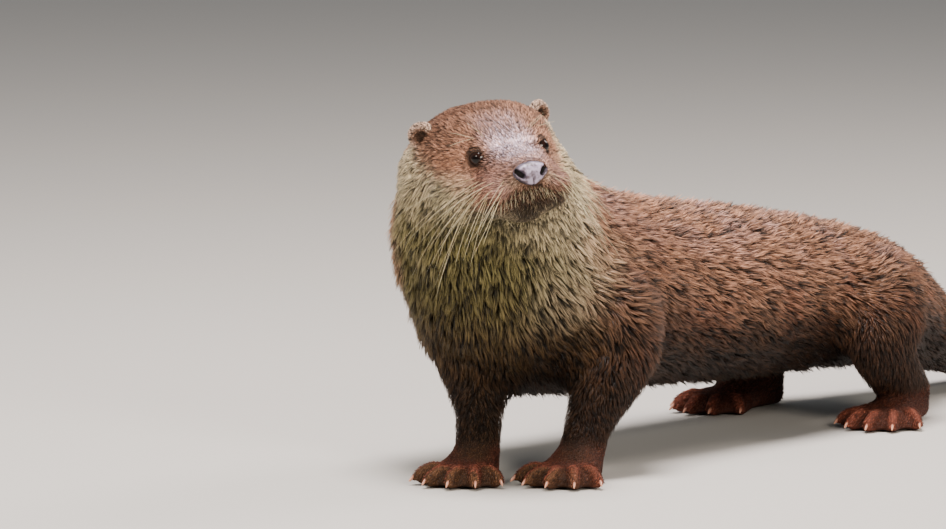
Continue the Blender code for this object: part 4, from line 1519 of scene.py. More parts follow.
PELAGES: dict[Region, Pelage] = {
    Region.HEAD: Pelage(6.5 * MM, 0.40 * MM, 2.00e6, 2.0 * MM, 0.45),
    Region.NECK: Pelage(12.0 * MM, 0.64 * MM, 0.97e6, 2.6 * MM, 0.80),
    Region.TRUNK: Pelage(12.0 * MM, 0.82 * MM, 0.49e6, 3.2 * MM, 0.80),
    Region.TAIL: Pelage(9.0 * MM, 0.84 * MM, 0.31e6, 2.6 * MM, 0.65),
    Region.LEG: Pelage(7.0 * MM, 0.56 * MM, 0.66e6, 2.2 * MM, 0.66),
    Region.PAW: Pelage(2.8 * MM, 0.42 * MM, 1.12e6, 1.3 * MM, 0.40),
    Region.EAR: Pelage(2.0 * MM, 0.26 * MM, 5.6e6, 0.9 * MM, 0.35),
}


@dataclass
class Seeds:
    """Places on the skin that tufts or locks grow from, with the directions and the coat's depth there."""

    triangles: Array
    weights: Array
    root: Array
    up: Array
    way: Array
    height: Array

    def turned(self, turn: Array) -> Array:
        """The lie at each seed, turned along the skin by its own angle."""
        side = np.cross(self.up, self.way)
        return unit(self.way * np.cos(turn)[:, None] + side * np.sin(turn)[:, None])


@dataclass
class Locks:
    """Locks of hair whose tips the tufts lean towards."""

    roots: Array
    tips: Array
    sway: Array
    lift: Array
    shade: Array
    jitter: Array

    def nearest(self, points: Array) -> tuple[Array, Array]:
        """The lock that each place belongs to.

        Args:
            points: Rows in the model's frame.

        Returns:
            The number of the nearest lock, and how far off its root is.
        """
        tree = kdtree.KDTree(len(self.roots))
        for i, root in enumerate(self.roots):
            tree.insert(root, i)
        tree.balance()
        found = [tree.find(point) for point in points]
        return np.array([index for _, index, _ in found]), np.array([distance for _, _, distance in found])


@dataclass
class Coat:
    """The coat: closed spindle tufts that rise from the skin, bend and lie along the body."""

    surface: Surface
    regions: Array
    depth: Array
    seed: int = 11
    spine: Spine = field(default_factory=Spine)
    markings: Markings = field(default_factory=Markings)
    source: Triple = (0.050, 0.0, -0.012)
    droop: float = 0.42
    toes_down: float = 0.35
    sole: float = 1.2 * MM
    lid_margin: float = math.radians(2.5)
    lid_cover: float = 0.55
    nose_middle: Triple = (0.0325, 0, -0.0128)
    nose_half_sizes: Triple = (0.011, 0.0090, 0.0058)
    quick_share: float = 0.5
    wave: float = 0.010
    guard_share: float = 0.07
    guard_rise: float = 1.30
    guard_pull: float = 0.25
    bend_at: float = 0.40
    bend_rise: float = 0.66
    bend_pull: float = 0.30
    bend_tone: float = 0.24
    root_sink: float = 0.5 * MM
    floor: float = 0.15 * MM
    patch: float = 0.003

    def lie(self) -> Array:
        """The direction in which the coat lies at each vertex.

        Returns:
            Unit vectors along the skin.
        """
        surface = self.surface
        points, normals = surface.points, surface.normals
        local = HEAD.inward(points)
        away = local - np.array(self.source)
        fall = 0.25 + 0.95 * smoothstep(0.005, -0.050, local[:, 0])
        away[:, 2] -= np.linalg.norm(away, axis=1) * (fall * smoothstep(0.012, -0.022, local[:, 2]))
        turned = np.array(HEAD.matrix())[:3, :3]
        on_head = unit(away @ turned.T)

        along_spine = self.spine.tangents(points)
        across = self.markings.across(points)
        front = smoothstep(-0.25, -0.34, points[:, 1])
        sides = 0.55 * smoothstep(0.0, -0.035, across) - 0.34 * smoothstep(0.030, 0.070, across)
        droop = self.droop + front * sides
        on_trunk = along_spine - np.array([0, 0, 1.0]) * droop[:, None] * (1 - np.abs(normals[:, 2:3]))

        down = np.tile(np.array([0.0, 0.12, -1.0]), (len(points), 1))
        down += smoothstep(0.060, 0.115, points[:, 2])[:, None] * (unit(on_trunk) - down)
        field_of = {
            Region.HEAD: on_head,
            Region.NECK: on_trunk,
            Region.TRUNK: on_trunk,
            Region.TAIL: along_spine,
            Region.LEG: down,
            Region.PAW: self.paw_ways(points),
            Region.EAR: on_head,
        }
        raw = np.zeros_like(points)
        for region, ways in field_of.items():
            mask = self.regions == region
            raw[mask] = unit(ways)[mask]
        even = surface.smoothed(raw, 26)
        even -= normals * (even * normals).sum(axis=1, keepdims=True)
        return unit(even)

    def paw_ways(self, points: Array) -> Array:
        """The direction of the toes on each paw.

        Args:
            points: Rows in the model's frame.

        Returns:
            Directions of the nearest paw's toes, a little downwards.
        """
        middles = np.array([middle_of(paw)[:] for paw in PAW_TURNS])
        nearest = np.linalg.norm(points[:, None] - middles[None], axis=2).argmin(axis=1)
        turns = np.array(list(PAW_TURNS.values()))[nearest]
        return np.stack([np.sin(turns), -np.cos(turns), np.full(len(points), -self.toes_down)], axis=1)

    def growth(self) -> dict[str, Array]:
        """Length, width, density, clump size and pull at each vertex, blended where regions meet.

        Returns:
            The name of each field of Pelage to its values.
        """
        names = Pelage.__dataclass_fields__
        table = np.array([[getattr(PELAGES[region], name) for name in names] for region in Region])
        rows = table[self.regions]
        points = self.surface.points
        ahead, _, above = HEAD.inward(points).T
        front = smoothstep(-0.045, 0.014, ahead)
        low = smoothstep(0.006, -0.022, above)
        # Over the head the hair grows shorter, finer and denser towards the muzzle. These two rows are
        # in mm, with the density in thousands.
        back = [6.8 + 4.5 * low, 0.36 + 0.18 * low, 2500 - 900 * low, 1.5 + 0.5 * low, 0.66 + 0.12 * low]
        back = np.stack(back, axis=1)
        muzzle = np.array([3.6, 0.27, 3450.0, 1.1, 0.55])
        on_head = self.regions == Region.HEAD
        metres = np.array([MM, MM, 1e3, MM, 1])
        rows[on_head] = ((back + (muzzle - back) * front[:, None]) * metres)[on_head]
        # The thighs wear the trunk's coat, and the chest wears the neck's.
        limb = self.regions == Region.LEG
        thigh = (smoothstep(0.055, 0.105, points[:, 2]) * limb)[:, None]
        rows += thigh * (table[Region.TRUNK] - rows)
        torso = np.isin(self.regions, (Region.TRUNK, Region.LEG))
        chest = smoothstep(-0.23, -0.31, points[:, 1]) * torso * smoothstep(0.06, 0.09, points[:, 2])
        rows += chest[:, None] * (table[Region.NECK] - rows)
        ears = self.regions == Region.EAR
        smooth = self.surface.smoothed(rows, 22)
        smooth[ears] = rows[ears]
        return dict(zip(names, smooth.T))

    def bare(self) -> Array:
        """Where no hair grows: on the eyes and lids, the nose, the soles and inside the ears' bases.

        Returns:
            0 on bare places, 1 where the coat is full, and between where it is thin.
        """
        points, normals = self.surface.points, self.surface.normals
        height = points[:, 2]
        grown = np.ones(len(points))
        for eye in (Eye(side) for side in Side):
            _, distance, angle, around = eye.polar(points)
            edge = eye.opening(around)
            grown[(distance < 0.016) & (angle < edge + self.lid_margin)] = 0
            covered = (distance < 0.020) & (angle < edge + self.lid_cover * eye.lid_spread)
            grown[covered & (np.abs(self.depth - THIN) > TINY)] = 0
        pad = (HEAD.inward(points) - np.array(self.nose_middle)) / np.array(self.nose_half_sizes)
        grown[np.sqrt((pad**2).sum(axis=1)) < 1] = 0
        grown[(height < self.sole) | ((normals[:, 2] < -0.75) & (height < 0.010))] = 0
        paw = self.regions == Region.PAW
        grown[paw] *= smoothstep(0.002, 0.008, height[paw])
        on_ear = self.regions == Region.EAR
        for ear in (Ear(side) for side in Side):
            inside = ear.inside(points)
            reach = np.linalg.norm(inside, axis=1)
            grown[(reach < 0.97) & ~on_ear] = 0
            cup = (inside[:, 0] > ear.back) & (ear.radial(inside) < 0.62)
            grown[cup & on_ear & (reach < 1.3)] *= 0.45
        return grown

    def sown(self, density: Array, lie: Array, rng: Chance) -> Seeds:
        """Sows seeds and reads the skin at each.

        Args:
            density: Seeds for each square metre, at each vertex.
            lie: The coat's direction at each vertex.
            rng: The source of chance.

        Returns:
            The seeds.
        """
        surface = self.surface
        triangles, weights = surface.sow(density, rng)
        root = surface.read(surface.points, triangles, weights)
        up = unit(surface.read(surface.normals, triangles, weights))
        way = surface.read(lie, triangles, weights)
        way = unit(way - up * (way * up).sum(axis=1, keepdims=True))
        return Seeds(triangles, weights, root, up, way, surface.read(self.depth, triangles, weights))

    def locks(self, seeds: Seeds, length: Array, rng: Chance) -> Locks:
        """Gives each lock its turn, lift and shade, which sway in waves over the body.

        Args:
            seeds: Where the locks grow.
            length: The coat's length there.
            rng: The source of chance.

        Returns:
            The locks.
        """
        count = len(seeds.root)
        # Left unseeded, the offsets of this noise come from the clock.
        noise.seed_set(self.seed)
        sway = np.array([noise.noise_vector(Vector(p) / self.wave)[:] for p in seeds.root])
        way = seeds.turned(0.55 * sway[:, 0] + 0.12 * rng.standard_normal(count))
        lift = np.clip(0.92 + 0.35 * sway[:, 1] + 0.20 * rng.standard_normal(count), 0.40, 1.45)
        shade = np.clip(0.5 + 0.22 * sway[:, 2] + 0.24 * rng.standard_normal(count), 0, 1.15)
        jitter = rng.standard_normal(count) * 0.35 * length
        run = length * 1.02
        tips = seeds.root + way * run[:, None] + seeds.up * (seeds.height * lift)[:, None]
        return Locks(seeds.root, tips, sway, lift, shade, jitter)

    def spindles(
        self,
        seeds: Seeds,
        grown: dict[str, Array],
        locks: Locks,
        mine: Array,
        guarded: Array,
        rng: Chance,
    ) -> tuple[Array, Array]:
        """Shapes the tufts: each rises from its root, bends at its knee and leans to its lock's tip.

        Args:
            seeds: Where the tufts grow, and which way each lies.
            grown: The coat's growth at each seed.
            locks: The locks.
            mine: The number of each tuft's lock.
            guarded: Where guard hairs may grow.
            rng: The source of chance.

        Returns:
            Each tuft's root, three points round its knee and its tip, and whether it is a guard hair.
        """
        root, up, way, count = seeds.root, seeds.up, seeds.way, len(seeds.root)
        length = grown["length"] * rng.uniform(0.72, 1.12, count)
        rise = seeds.height * np.clip(locks.lift[mine] * rng.uniform(0.70, 1.05, count), 0.2, 1.25)
        guard = (rng.random(count) < self.guard_share) & guarded
        rise = np.where(guard, self.guard_rise * rise, rise)
        run = np.sqrt(np.maximum(length**2 - rise**2, (0.5 * length) ** 2))
        pull = np.clip(grown["pull"] * rng.uniform(0.7, 1.15, count), 0, 0.9)
        pull = np.where(guard, self.guard_pull * pull, pull)[:, None]
        lock_root, lock_tip = locks.roots[mine], locks.tips[mine]
        tip = root + way * run[:, None] + up * rise[:, None]
        tip = tip * (1 - pull) + lock_tip * pull
        knee = root + way * (self.bend_at * run)[:, None] + up * (self.bend_rise * rise)[:, None]
        lock_knee = lock_root + (lock_tip - lock_root) * self.bend_at
        knee = knee * (1 - self.bend_pull * pull) + lock_knee * self.bend_pull * pull

        along = unit(tip - knee)
        across = unit(np.cross(up, along))
        over = np.cross(along, across)
        half = 0.5 * grown["width"] * rng.uniform(0.7, 1.25, count)
        ring = [
            knee + across * half[:, None],
            knee - across * half[:, None],
            knee + over * (0.75 * half)[:, None],
        ]
        points = np.stack([root - up * self.root_sink, *ring, tip], axis=1)
        points[:, 1:, 2] = np.maximum(points[:, 1:, 2], self.floor)
        return points, guard

    def build(self, material: Material) -> list[Object]:
        """Sows and shapes the tufts, colours them, and splits them into pieces by region.

        Args:
            material: The coat's material.

        Returns:
            The coat's pieces.
        """
        rng = np.random.default_rng(self.seed)
        surface, lie, growth = self.surface, self.lie(), self.growth()
        density = growth["density"] * self.bare()
        seeds = self.sown(density, lie, rng)
        root = seeds.root
        sites = seeds.triangles, seeds.weights
        grown = {name: surface.read(values, *sites) for name, values in growth.items()}
        place = self.regions[surface.corners[seeds.triangles, 0]]

        lock_density = surface.smoothed(1.0 / growth["clump"] ** 2, 2) * (density > 0)
        lock_seeds = self.sown(lock_density, lie, rng)
        lock_length = surface.read(growth["length"], lock_seeds.triangles, lock_seeds.weights)
        locks = self.locks(lock_seeds, lock_length, rng)
        mine, distance = locks.nearest(root)
        off = distance / np.maximum(grown["clump"], 1e-6)

        ahead, _, above = HEAD.inward(root).T
        on_head = place == Region.HEAD
        near_face = smoothstep(-0.060, -0.030, ahead) * on_head
        seeds.way = seeds.turned(0.23 * locks.sway[mine, 0] + 0.08 * rng.standard_normal(len(root)))
        guarded = (near_face < 0.5) & np.isin(place, GUARDED)
        points, guard = self.spindles(seeds, grown, locks, mine, guarded, rng)

        # Each lock reads its markings a little off its place, so that their edges break up into locks,
        # but not close to the eyes.
        middles = np.array([Eye(side).middle()[:] for side in Side])
        near = np.linalg.norm(root[:, None] - middles[None], axis=2).min(axis=1)
        spread = locks.jitter[mine] * smoothstep(0.010, 0.024, near)
        marks, olive = self.markings.at(root + seeds.way * spread[:, None], seeds.up, place)
        # The painted sheen differs from lock to lock.
        marks[:, 3] *= rng.uniform(0.25, 1.4, len(locks.roots))[mine]
        marks = np.clip(marks, 0, 1)
        # Some pale hairs lie among the jaw's hairs, which are darkened with painted shade.
        under = (near_face > 0.5) & (above < -0.019) & (rng.random(len(root)) < 0.11)
        marks[:, 2] *= np.where(under, 0.35, 1.0)
        # Tufts are lightest in the middle of their lock and darken towards the gaps between locks: painted
        # highlight on each lock and painted shade in the gaps.
        pale = marks[:, 0]
        shade = 0.90 * locks.shade[mine] + 0.16 * rng.random(len(root)) + 0.58 - 1.40 * np.minimum(off, 0.8)
        # Guard hairs are lighter, and pale hair away from the face is lightened further: painted light on
        # throat and cheeks.
        shade = shade + 0.25 * guard + 0.14 * pale * (1 - olive) * (1 - near_face)
        # Near the face the painted sheen lightens its tufts further, and so does rust.
        shade = shade + near_face * (0.26 * marks[:, 3] + 0.14 * marks[:, 1])
        # Pale locks get a wider spread of light and dark, which deepens their painted highlight and shade.
        shade = 0.45 + (shade - 0.45) * (1 + 0.55 * pale * (1 - 0.5 * olive))
        shade = np.clip(shade, 0.02 + 0.12 * on_head, 1)

        uv = self.patch_places(seeds)
        tones = np.stack([shade, olive], axis=1)
        pieces = []
        for name, mask in self.shares(root, place).items():
            chosen = np.where(mask)[0]
            rows = [values[chosen] for values in (points, marks, tones, uv)]
            pieces.append(self.piece(name, *rows, material))
        return pieces

    def shares(self, root: Array, place: Array) -> dict[str, Array]:
        """Splits the tufts into pieces that each stay under 200,000 triangles.

        Args:
            root: Where each tuft grows.
            place: The value of its region.

        Returns:
            Piece name to whether each tuft is in it.
        """
        ahead, aside, _ = HEAD.inward(root).T
        head, neck = place == Region.HEAD, place == Region.NECK
        trunk, leg = place == Region.TRUNK, place == Region.LEG
        front, middle = root[:, 1] < -0.270, root[:, 1] < -0.090
        left = root[:, 0] > -0.024
        return {
            "coat_face_left": head & (ahead > -0.022) & (aside > 0),
            "coat_face_right": head & (ahead > -0.022) & (aside <= 0),
            "coat_cheek_left": head & (ahead <= -0.022) & (aside > 0),
            "coat_cheek_right": head & (ahead <= -0.022) & (aside <= 0),
            "coat_neck": neck,
            "coat_chest_left": trunk & front & left,
            "coat_chest_right": trunk & front & ~left,
            "coat_back_left": trunk & ~front & middle & (root[:, 0] > -0.012),
            "coat_back_right": trunk & ~front & middle & (root[:, 0] <= -0.012),
            "coat_hips": trunk & ~middle,
            "coat_tail": place == Region.TAIL,
            "coat_forelegs": leg & (root[:, 1] < -0.2),
            "coat_hindlegs": leg & (root[:, 1] >= -0.2),
            "coat_paws": place == Region.PAW,
            "coat_ears": place == Region.EAR,
        }

    def patch_places(self, seeds: Seeds) -> Array:
        """Each tuft's place on the skin's unwrap.

        Args:
            seeds: Where the tufts grow.

        Returns:
            Rows of u and v.
        """
        layer = bpy.data.objects["skin"].data.uv_layers["unwrap"]
        corners = read_rows(layer.data, "uv", 2, np.float32)[self.surface.loops[seeds.triangles]]
        return (corners * seeds.weights[:, :, None]).sum(axis=1)

    def piece(
        self, name: str, points: Array, marks: Array, tones: Array, uv: Array, material: Material
    ) -> Object:
        """One piece of coat.

        Args:
            name: Its name.
            points: For each tuft its root, three points round its knee, and its tip.
            marks: The markings at each root.
            tones: How light each tuft is, and how olive and shaded.
            uv: Each root's place on the skin's unwrap.
            material: The coat's material.

        Returns:
            The finished piece.
        """
        count = len(points)
        spindle = np.array([(0, 2, 1), (0, 3, 2), (0, 1, 3), (4, 1, 2), (4, 2, 3), (4, 3, 1)])
        faces = (spindle[None] + 5 * np.arange(count)[:, None, None]).reshape(-1, 3)
        flat = points.reshape(-1, 3)
        a, b, c = (flat[faces[:, i]] for i in range(3))
        if (a * np.cross(b, c)).sum() < 0:
            faces = faces[:, ::-1]
        obj = new_mesh(name, flat, faces)
        # How far along the hair each point is, how light the tuft is and how olive and shaded. Cream hairs
        # are light from nearer their roots.
        strand = np.zeros((count, 5, 3))
        strand[:, 1:4, 0] = (self.bend_tone + 0.22 * marks[:, 0] * (1 - tones[:, 1]))[:, None]
        strand[:, 4, 0] = 1.0
        strand[:, :, 1:] = tones[:, None]
        put_attribute(obj.data, "strand", strand.reshape(-1, 3))
        put_attribute(obj.data, "mark", np.repeat(marks, 5, axis=0))
        corner = np.array([(0.5, 0.0), (0.0, 0.5), (1.0, 0.5), (0.5, 0.5), (0.5, 1.0)]) * self.patch
        spots = (uv[:, None, :] * (1 - 2 * self.patch) + self.patch / 2 + corner[None]).reshape(-1, 2)
        layer = obj.data.uv_layers.new(name="OFBake")
        layer.data.foreach_set("uv", spots[faces.ravel()].astype(np.float32).ravel())
        dress(obj, material)
        return obj


# ---- nose, claws, whiskers


@dataclass
class Nose:
    """The bare nose pad with its comma-shaped nostrils and middle groove."""

    ahead: float = 32.5 * MM
    above: float = -12.2 * MM
    half_width: float = 11.4 * MM
    reach_above: float = 6.9 * MM
    reach_below: float = 8.4 * MM
    depth: float = 6.0 * MM
    set_back: float = 1.0 * MM
    narrowing: float = 0.42
    nostril_depth: float = 4.6 * MM
    # Places along one nostril, and its half width there, in mm.
    nostril: tuple[Triple, ...] = (
        (6.3, -1.3, 1.9), (7.8, 0.3, 2.4), (9.4, 1.9, 1.8), (11.0, 3.0, 1.2)
    )
    groove: float = 0.7 * MM
    groove_width: float = 0.55 * MM
    wing: float = 0.8 * MM
    wing_aside: float = 7.5 * MM
    wing_width: float = 3.0 * MM

    def nostrils(self, place: Array) -> Array:
        """How deep each place lies in a nostril.

        Args:
            place: Rows of aside and above in the pad's own frame.

        Returns:
            1 inside a nostril, fading to 0 past its edge.
        """
        hollow = np.zeros(len(place))
        for side in Side:
            for (y0, z0, r0), (y1, z1, r1) in zip(self.nostril, self.nostril[1:]):
                start, end = np.array([side * y0, z0]) * MM, np.array([side * y1, z1]) * MM
                away, share = along_line(place, start, end)
                radius = (r0 + (r1 - r0) * np.clip(share, 0, 1)) * MM
                hollow = np.maximum(hollow, smoothstep(1.15, 0.55, away / radius))
        return hollow

    def build(self) -> Object:
        """Shapes the pad from a ball.

        Returns:
            The finished piece.
        """
        ball = bpy.ops.mesh.primitive_uv_sphere_add
        obj = primitive("nose_pad", ball, segments=96, ring_count=64, radius=1.0)
        points = transformed(Matrix.Rotation(math.pi / 2, 4, "Y"), points_of(obj.data))
        out, across, rise = points.T
        y = self.half_width * across * (1.0 - self.narrowing * np.clip(-rise, 0, 1) ** 1.4)
        z = np.where(rise > 0, self.reach_above, self.reach_below) * rise
        x = self.depth * np.sign(out) * np.abs(out) ** 0.75
        front = smoothstep(0.0, 0.3, out)
        hollow = self.nostrils(np.stack([y, z], axis=1))
        groove = np.exp(-((y / self.groove_width) ** 2)) * smoothstep(-0.5 * MM, -3.5 * MM, z)
        swell = self.wing * np.exp(-(((np.abs(y) - self.wing_aside) / self.wing_width) ** 2))
        swell = swell * smoothstep(-6 * MM, 0, z)
        x = x + front * (swell - self.nostril_depth * hollow - self.groove * groove)
        local = np.stack([x + self.ahead - self.set_back, y, z + self.above], axis=1)
        # The nostrils, the groove and the pad's edge are darkened: painted shade.
        edge = 0.75 * smoothstep(0.58, 0.22, out)
        put_attribute(obj.data, "mark", np.clip(front * hollow * 1.2 + 0.5 * front * groove + edge, 0, 1))
        move_points(obj.data, transformed(HEAD.matrix(), local))
        obj.data.shade_smooth()
        dress(obj, NoseLeather().material())
        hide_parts("nose")
        return obj


@dataclass
class Claws:
    """The five claws of one foot, each curved down and tapered."""

    limb: str
    side: Side
    sides: int = 12
    half_height: float = 1.35 * MM
    narrower: float = 0.8
    arch: float = 0.9 * MM
    sink: float = 0.3 * MM

    def claw(self, name: str, paw: Array) -> Object:
        """Shapes one claw in the room of its solid.

        Args:
            name: The solid's name.
            paw: The middle of its paw.

        Returns:
            The claw, from its root in the toe to its tip.
        """
        solid = points_of(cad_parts[name].data)
        middle = solid.mean(axis=0)
        _, _, axes = np.linalg.svd(solid - middle)
        along = axes[0] * np.sign(axes[0] @ (middle - paw))
        reach = (solid - middle) @ along
        start, end = middle + along * reach.min(), middle + along * reach.max()
        rod = bpy.ops.mesh.primitive_cylinder_add
        claw = primitive(f"horn_of_{name}", rod, vertices=self.sides, radius=1.0, depth=1.0)
        bpy.ops.object.mode_set(mode="EDIT")
        bpy.ops.mesh.select_all(action="SELECT")
        bpy.ops.mesh.bisect(plane_co=(0, 0, 0), plane_no=(0, 0, 1))
        bpy.ops.object.mode_set(mode="OBJECT")
        apply_modifier(claw, "SUBSURF", levels=2, render_levels=2, subdivision_type="SIMPLE")
        local = points_of(claw.data)
        share = local[:, 2] + 0.5
        taper = np.sqrt(np.clip(1.02 - share**2.2, 0, 1)) * self.half_height
        side = np.cross([0, 0, 1], along)
        side /= np.linalg.norm(side)
        over = np.cross(along, side)
        arch = self.arch * np.sin(math.pi * np.clip(share, 0, 1)) - self.sink
        place = start + np.outer(share, end - start) + np.outer(arch, over)
        place = place + np.outer(local[:, 0] * taper * self.narrower, side)
        place = place + np.outer(local[:, 1] * taper, over)
        move_points(claw.data, place)
        put_attribute(claw.data, "strand", np.clip(share, 0, 1))
        return claw

    def build(self, material: Material) -> Object:
        """Joins the foot's claws.

        Args:
            material: The claws' horn.

        Returns:
            One piece with the foot's claws.
        """
        paw = np.array(middle_of(f"{self.limb}paw_{self.side.word}"))
        names = [f"claw_{self.limb}_{self.side.word}_{i}" for i in range(1, 6)]
        only(*[self.claw(name, paw) for name in names])
        bpy.ops.object.join()
        obj = bpy.context.object
        obj.name = f"claws_{self.limb}_{self.side.word}"
        obj.data.shade_smooth()
        dress(obj, material)
        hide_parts(*names)
        return obj


@dataclass(frozen=True)
class Whisker:
    """One whisker: a point outside its root, its direction, its length, droop and half width in mm."""

    root: Array
    way: Array
    length: float
    droop: float
    thick: float


@dataclass
class Whiskers:
    """Stiff tapering whiskers on the pads, over the eyes and on the cheeks, and short ones on the chin."""

    skin: Object
    seed: int = 5
    reach: float = 0.045
    steps: int = 9
    sides: int = 5
    blunt: float = 0.03 * MM
    sink: float = 0.4

    def plan(self, side: Side, rng: Chance) -> list[Whisker]:
        """The whiskers of one side, in the head's frame.

        Args:
            side: The side of the face.
            rng: The source of chance.

        Returns:
            The pad's five rows, then those over the eye, on the cheek and on the chin.
        """
        found = []

        def add(
            angle: float, above: float, way: Triple, sizes: Triple
        ) -> None:
            """Adds one whisker.

            Args:
                angle: Degrees round the muzzle, from its front.
                above: How high its root lies, in mm.
                way: How far it points forwards, aside and up.
                sizes: Its length in mm, its droop, and its half width in mm.
            """
            turned = math.radians(angle + rng.normal(0, 1.4))
            height = above * MM + rng.normal(0, 0.0005)
            aside = side * math.sin(turned)
            root = np.array([math.cos(turned), aside, 0.0]) * self.reach + np.array([0, 0, height])
            length = sizes[0] * MM * rng.uniform(0.85, 1.15)
            ahead = np.array([way[0], side * way[1], way[2]])
            found.append(Whisker(root, ahead, length, sizes[1] * rng.uniform(0.8, 1.2), sizes[2]))

        lower = 0.34 if side is Side.LEFT else 0.0
        for row in range(5):
            for column in range(5):
                share = column / 4
                way = (0.40 - (1.15 - 0.5 * lower) * share, 0.85, -0.20 - 0.25 * row + 0.10 * share - lower)
                sizes = (32 + 22 * share, 0.42, 0.125)
                add(28 + 52 * share + 2.5 * row, -15.5 - 2.8 * row + 2 * share, way, sizes)
        for i in range(3):
            add(100 + 5 * i, 10.5, (-0.25, 0.75, 0.85 - 0.4 * i), (17, 0.15, 0.11))
        for i in range(4):
            add(128 + 3 * i, -18 - 3 * i, (-0.6, 0.7, -0.5), (28, 0.35, 0.13))
        for i in range(42):
            angle = 1 + 1.15 * i
            forwards = 0.75 - 0.012 * angle + rng.normal(0, 0.25)
            way = (forwards, 0.10 + 0.016 * angle + rng.normal(0, 0.25), -1.1)
            above = -21.0 - 0.0036 * angle**2 - rng.uniform(0, 4.5)
            add(angle, above, way, (rng.uniform(3.5, 8.0), 0.5, 0.030))
        return found

    def tube(self, whisker: Whisker, start: Array, ahead: Array, bend: Array) -> Array:
        """One whisker as rings of points.

        Args:
            whisker: Its sizes.
            start: Its root on the skin.
            ahead: The direction that it leaves the skin in.
            bend: Which way it curls, besides its droop.

        Returns:
            The points of each ring, from root to tip.
        """
        side_way = np.cross(ahead, [0, 0, 1])
        side_way /= np.linalg.norm(side_way)
        over = np.cross(side_way, ahead)
        angles = np.arange(self.sides) * math.tau / self.sides
        length = whisker.length
        rows = []
        for step in range(self.steps):
            share = step / (self.steps - 1)
            centre = start + ahead * length * share + bend * length * share**2 * 0.5
            fall = np.array([0, 0, -whisker.droop * length * share**2 * 0.6])
            centre = centre + fall - ahead * self.sink * MM
            radius = whisker.thick * MM * (1 - share) ** 0.8 + self.blunt
            ring = centre + radius * np.outer(np.cos(angles), side_way)
            rows.append(ring + radius * np.outer(np.sin(angles), over))
        return np.concatenate(rows)

    def tube_faces(self) -> Array:
        """The triangles of one tube, closed at both ends.

        Returns:
            Rows of three numbers of its points.
        """
        faces = []
        for step in range(self.steps - 1):
            for i in range(self.sides):
                a, b = step * self.sides + i, step * self.sides + (i + 1) % self.sides
                faces.append((a, b, b + self.sides))
                faces.append((a, b + self.sides, a + self.sides))
        last = (self.steps - 1) * self.sides
        for i in range(1, self.sides - 1):
            faces.append((0, i + 1, i))
            faces.append((last, last + i, last + i + 1))
        return np.array(faces)

    def build(self, material: Material) -> Object:
        """Makes every whisker as a thin closed tube.

        Args:
            material: Their horn.

        Returns:
            One piece with all whiskers.
        """
        rng = np.random.default_rng(self.seed)
        tree = BVHTree.FromObject(self.skin, bpy.context.evaluated_depsgraph_get())
        matrix = HEAD.matrix()
        turned = np.array(matrix)[:3, :3]
        tubes = []
        for side in Side:
            for whisker in self.plan(side, rng):
                middle = matrix @ Vector((-0.006, 0.0, whisker.root[2]))
                outside = matrix @ Vector(whisker.root)
                hit = tree.ray_cast(outside, (middle - outside).normalized())
                start = np.array(hit[0] if hit[0] else tree.find_nearest(outside)[0])
                ahead = turned @ (whisker.way / np.linalg.norm(whisker.way) + rng.normal(0, 0.10, 3))
                ahead /= np.linalg.norm(ahead)
                tubes.append(self.tube(whisker, start, ahead, rng.normal(0, 0.10, 3)))
        each = self.tube_faces()
        faces = np.concatenate([each + number * self.steps * self.sides for number in range(len(tubes))])
        obj = new_mesh("whiskers", np.concatenate(tubes), faces)
        shares = np.repeat(np.linspace(0, 1, self.steps), self.sides)
        put_attribute(obj.data, "strand", np.tile(shares, len(tubes)))
        dress(obj, material)
        return obj


# ---- studio


@dataclass(frozen=True)
class Lamp:
    """One soft round light: its name, its place, its width in metres, its watts and its sRGB colour."""

    name: str
    place: Triple
    size: float
    power: float
    colour: str


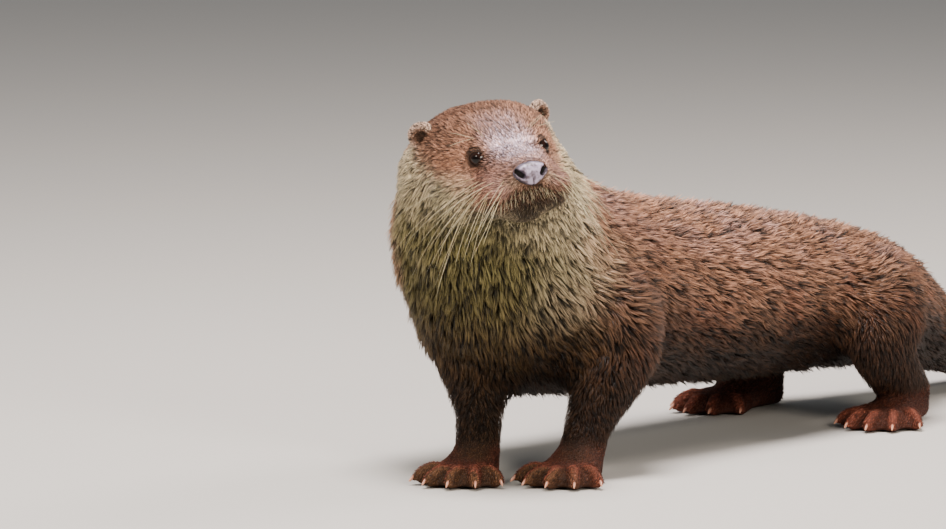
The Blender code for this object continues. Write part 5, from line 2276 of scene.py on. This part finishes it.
@dataclass
class Studio:
    """A plain pale floor, soft light from above and a long lens at the animal's height."""

    azimuth: float = math.radians(32)
    elevation: float = math.radians(8)
    distance: float = 4.9
    feet: Triple = (0.0026, -0.3975, 0.0)
    aim_aside: float = -0.0347
    aim_above: float = 0.1386
    lens: float = 290.0
    sensor: float = 36.0
    floor_size: float = 40.0
    floor_colour: str = "#bdbab4"
    air_colour: str = "#dfe3e8"
    air_strength: float = 0.33
    lit: Triple = (0.0, -0.2, 0.1)
    lamps: tuple[Lamp, ...] = (
        Lamp("overhead", (0.1, -0.6, 2.3), 1.0, 128, "#fff6f4"),
        Lamp("key", (-0.2, -2.1, 1.5), 0.7, 24, "#fff4e6"),
        Lamp("side", (2.0, -1.4, 1.0), 0.8, 40, "#fff3e4"),
        Lamp("back", (0.7, 1.5, 1.6), 1.0, 34, "#fff0e6"),
    )

    def camera(self) -> None:
        """Adds the camera and makes it the scene's."""
        data = bpy.data.cameras.new("camera")
        data.lens, data.sensor_width = self.lens, self.sensor
        data.clip_end = 50
        camera = bpy.data.objects.new("camera", data)
        bpy.context.scene.collection.objects.link(camera)
        level = math.cos(self.elevation)
        back = (math.sin(self.azimuth) * level, -math.cos(self.azimuth) * level, math.sin(self.elevation))
        back = Vector(back)
        right = UP.cross(back).normalized()
        aim = Vector(self.feet) + right * self.aim_aside + back.cross(right) * self.aim_above
        camera.location = Vector(self.feet) + back * self.distance
        camera.rotation_euler = (camera.location - aim).to_track_quat("Z", "Y").to_euler()
        bpy.context.scene.camera = camera

    def light(self, lamp: Lamp) -> None:
        """Adds one light that faces the animal.

        Args:
            lamp: Its place and strength.
        """
        data = bpy.data.lights.new(lamp.name, "AREA")
        data.shape = "DISK"
        data.energy, data.size, data.color = lamp.power, lamp.size, linear(lamp.colour)[:3]
        light = bpy.data.objects.new(lamp.name, data)
        bpy.context.scene.collection.objects.link(light)
        light.location = lamp.place
        aim = Vector(self.lit) - Vector(lamp.place)
        light.rotation_euler = aim.to_track_quat("-Z", "Y").to_euler()

    def build(self) -> None:
        """Sets floor, lights, world and camera."""
        floor = primitive("floor", bpy.ops.mesh.primitive_plane_add, size=self.floor_size)
        # Flat emulsion on board, rolled on: pale, even and without gloss.
        values = {"Base Color": linear(self.floor_colour), "Roughness": 0.9}
        floor.data.materials.append(new_material("pale_matt_paint", values)[0])
        world = bpy.data.worlds.new("studio")
        world.use_nodes = True
        background = world.node_tree.nodes["Background"]
        background.inputs["Color"].default_value = linear(self.air_colour)
        background.inputs["Strength"].default_value = self.air_strength
        bpy.context.scene.world = world
        for lamp in self.lamps:
            self.light(lamp)
        self.camera()


def main() -> None:
    """Builds the dressed otter, piece by piece."""
    logging.basicConfig(level=logging.INFO, format="%(name)s: %(message)s")
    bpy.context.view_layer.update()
    Studio().build()
    fur = Fur()

    skin, surface, regions, depth = Skin().build()
    even = unit(surface.smoothed(surface.normals, 6))
    marks, olive = Markings().at(surface.points, even, regions)
    put_attribute(skin.data, "mark", marks)
    # The skin shows the hair's colours from near its root, in an even shade.
    near_root, shade = np.full_like(olive, 0.25), np.full_like(olive, 0.40)
    put_attribute(skin.data, "strand", np.stack([near_root, shade, olive], axis=1))
    dress(skin, fur.underfur())
    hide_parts(*FLESH, "ear_left", "ear_right")
    LOG.info("skin: %d triangles", len(surface.corners))

    for piece in Coat(surface, regions, depth).build(fur.coat()):
        LOG.info("%s: %d triangles", piece.name, len(piece.data.polygons))

    gloss = EyeGloss().material()
    for side in Side:
        LOG.info("%s", Eye(side).ball(gloss).name)
    LOG.info("%s", Nose().build().name)
    # Thin translucent horn, worn smooth: reddish brown in the toe and paler at the tip.
    horn = Horn("claw_horn", "#7d4231", "#dba287", 0.3).material()
    for limb in ("fore", "hind"):
        for side in Side:
            LOG.info("%s", Claws(limb, side).build(horn).name)
    # Stiff straw-coloured bristle that catches the light along its length.
    bristle = Horn("whisker_bristle", "#b3a27a", "#ece0ba", 0.35).material()
    LOG.info("%s", Whiskers(skin).build(bristle).name)


if __name__ == "__main__":
    main()
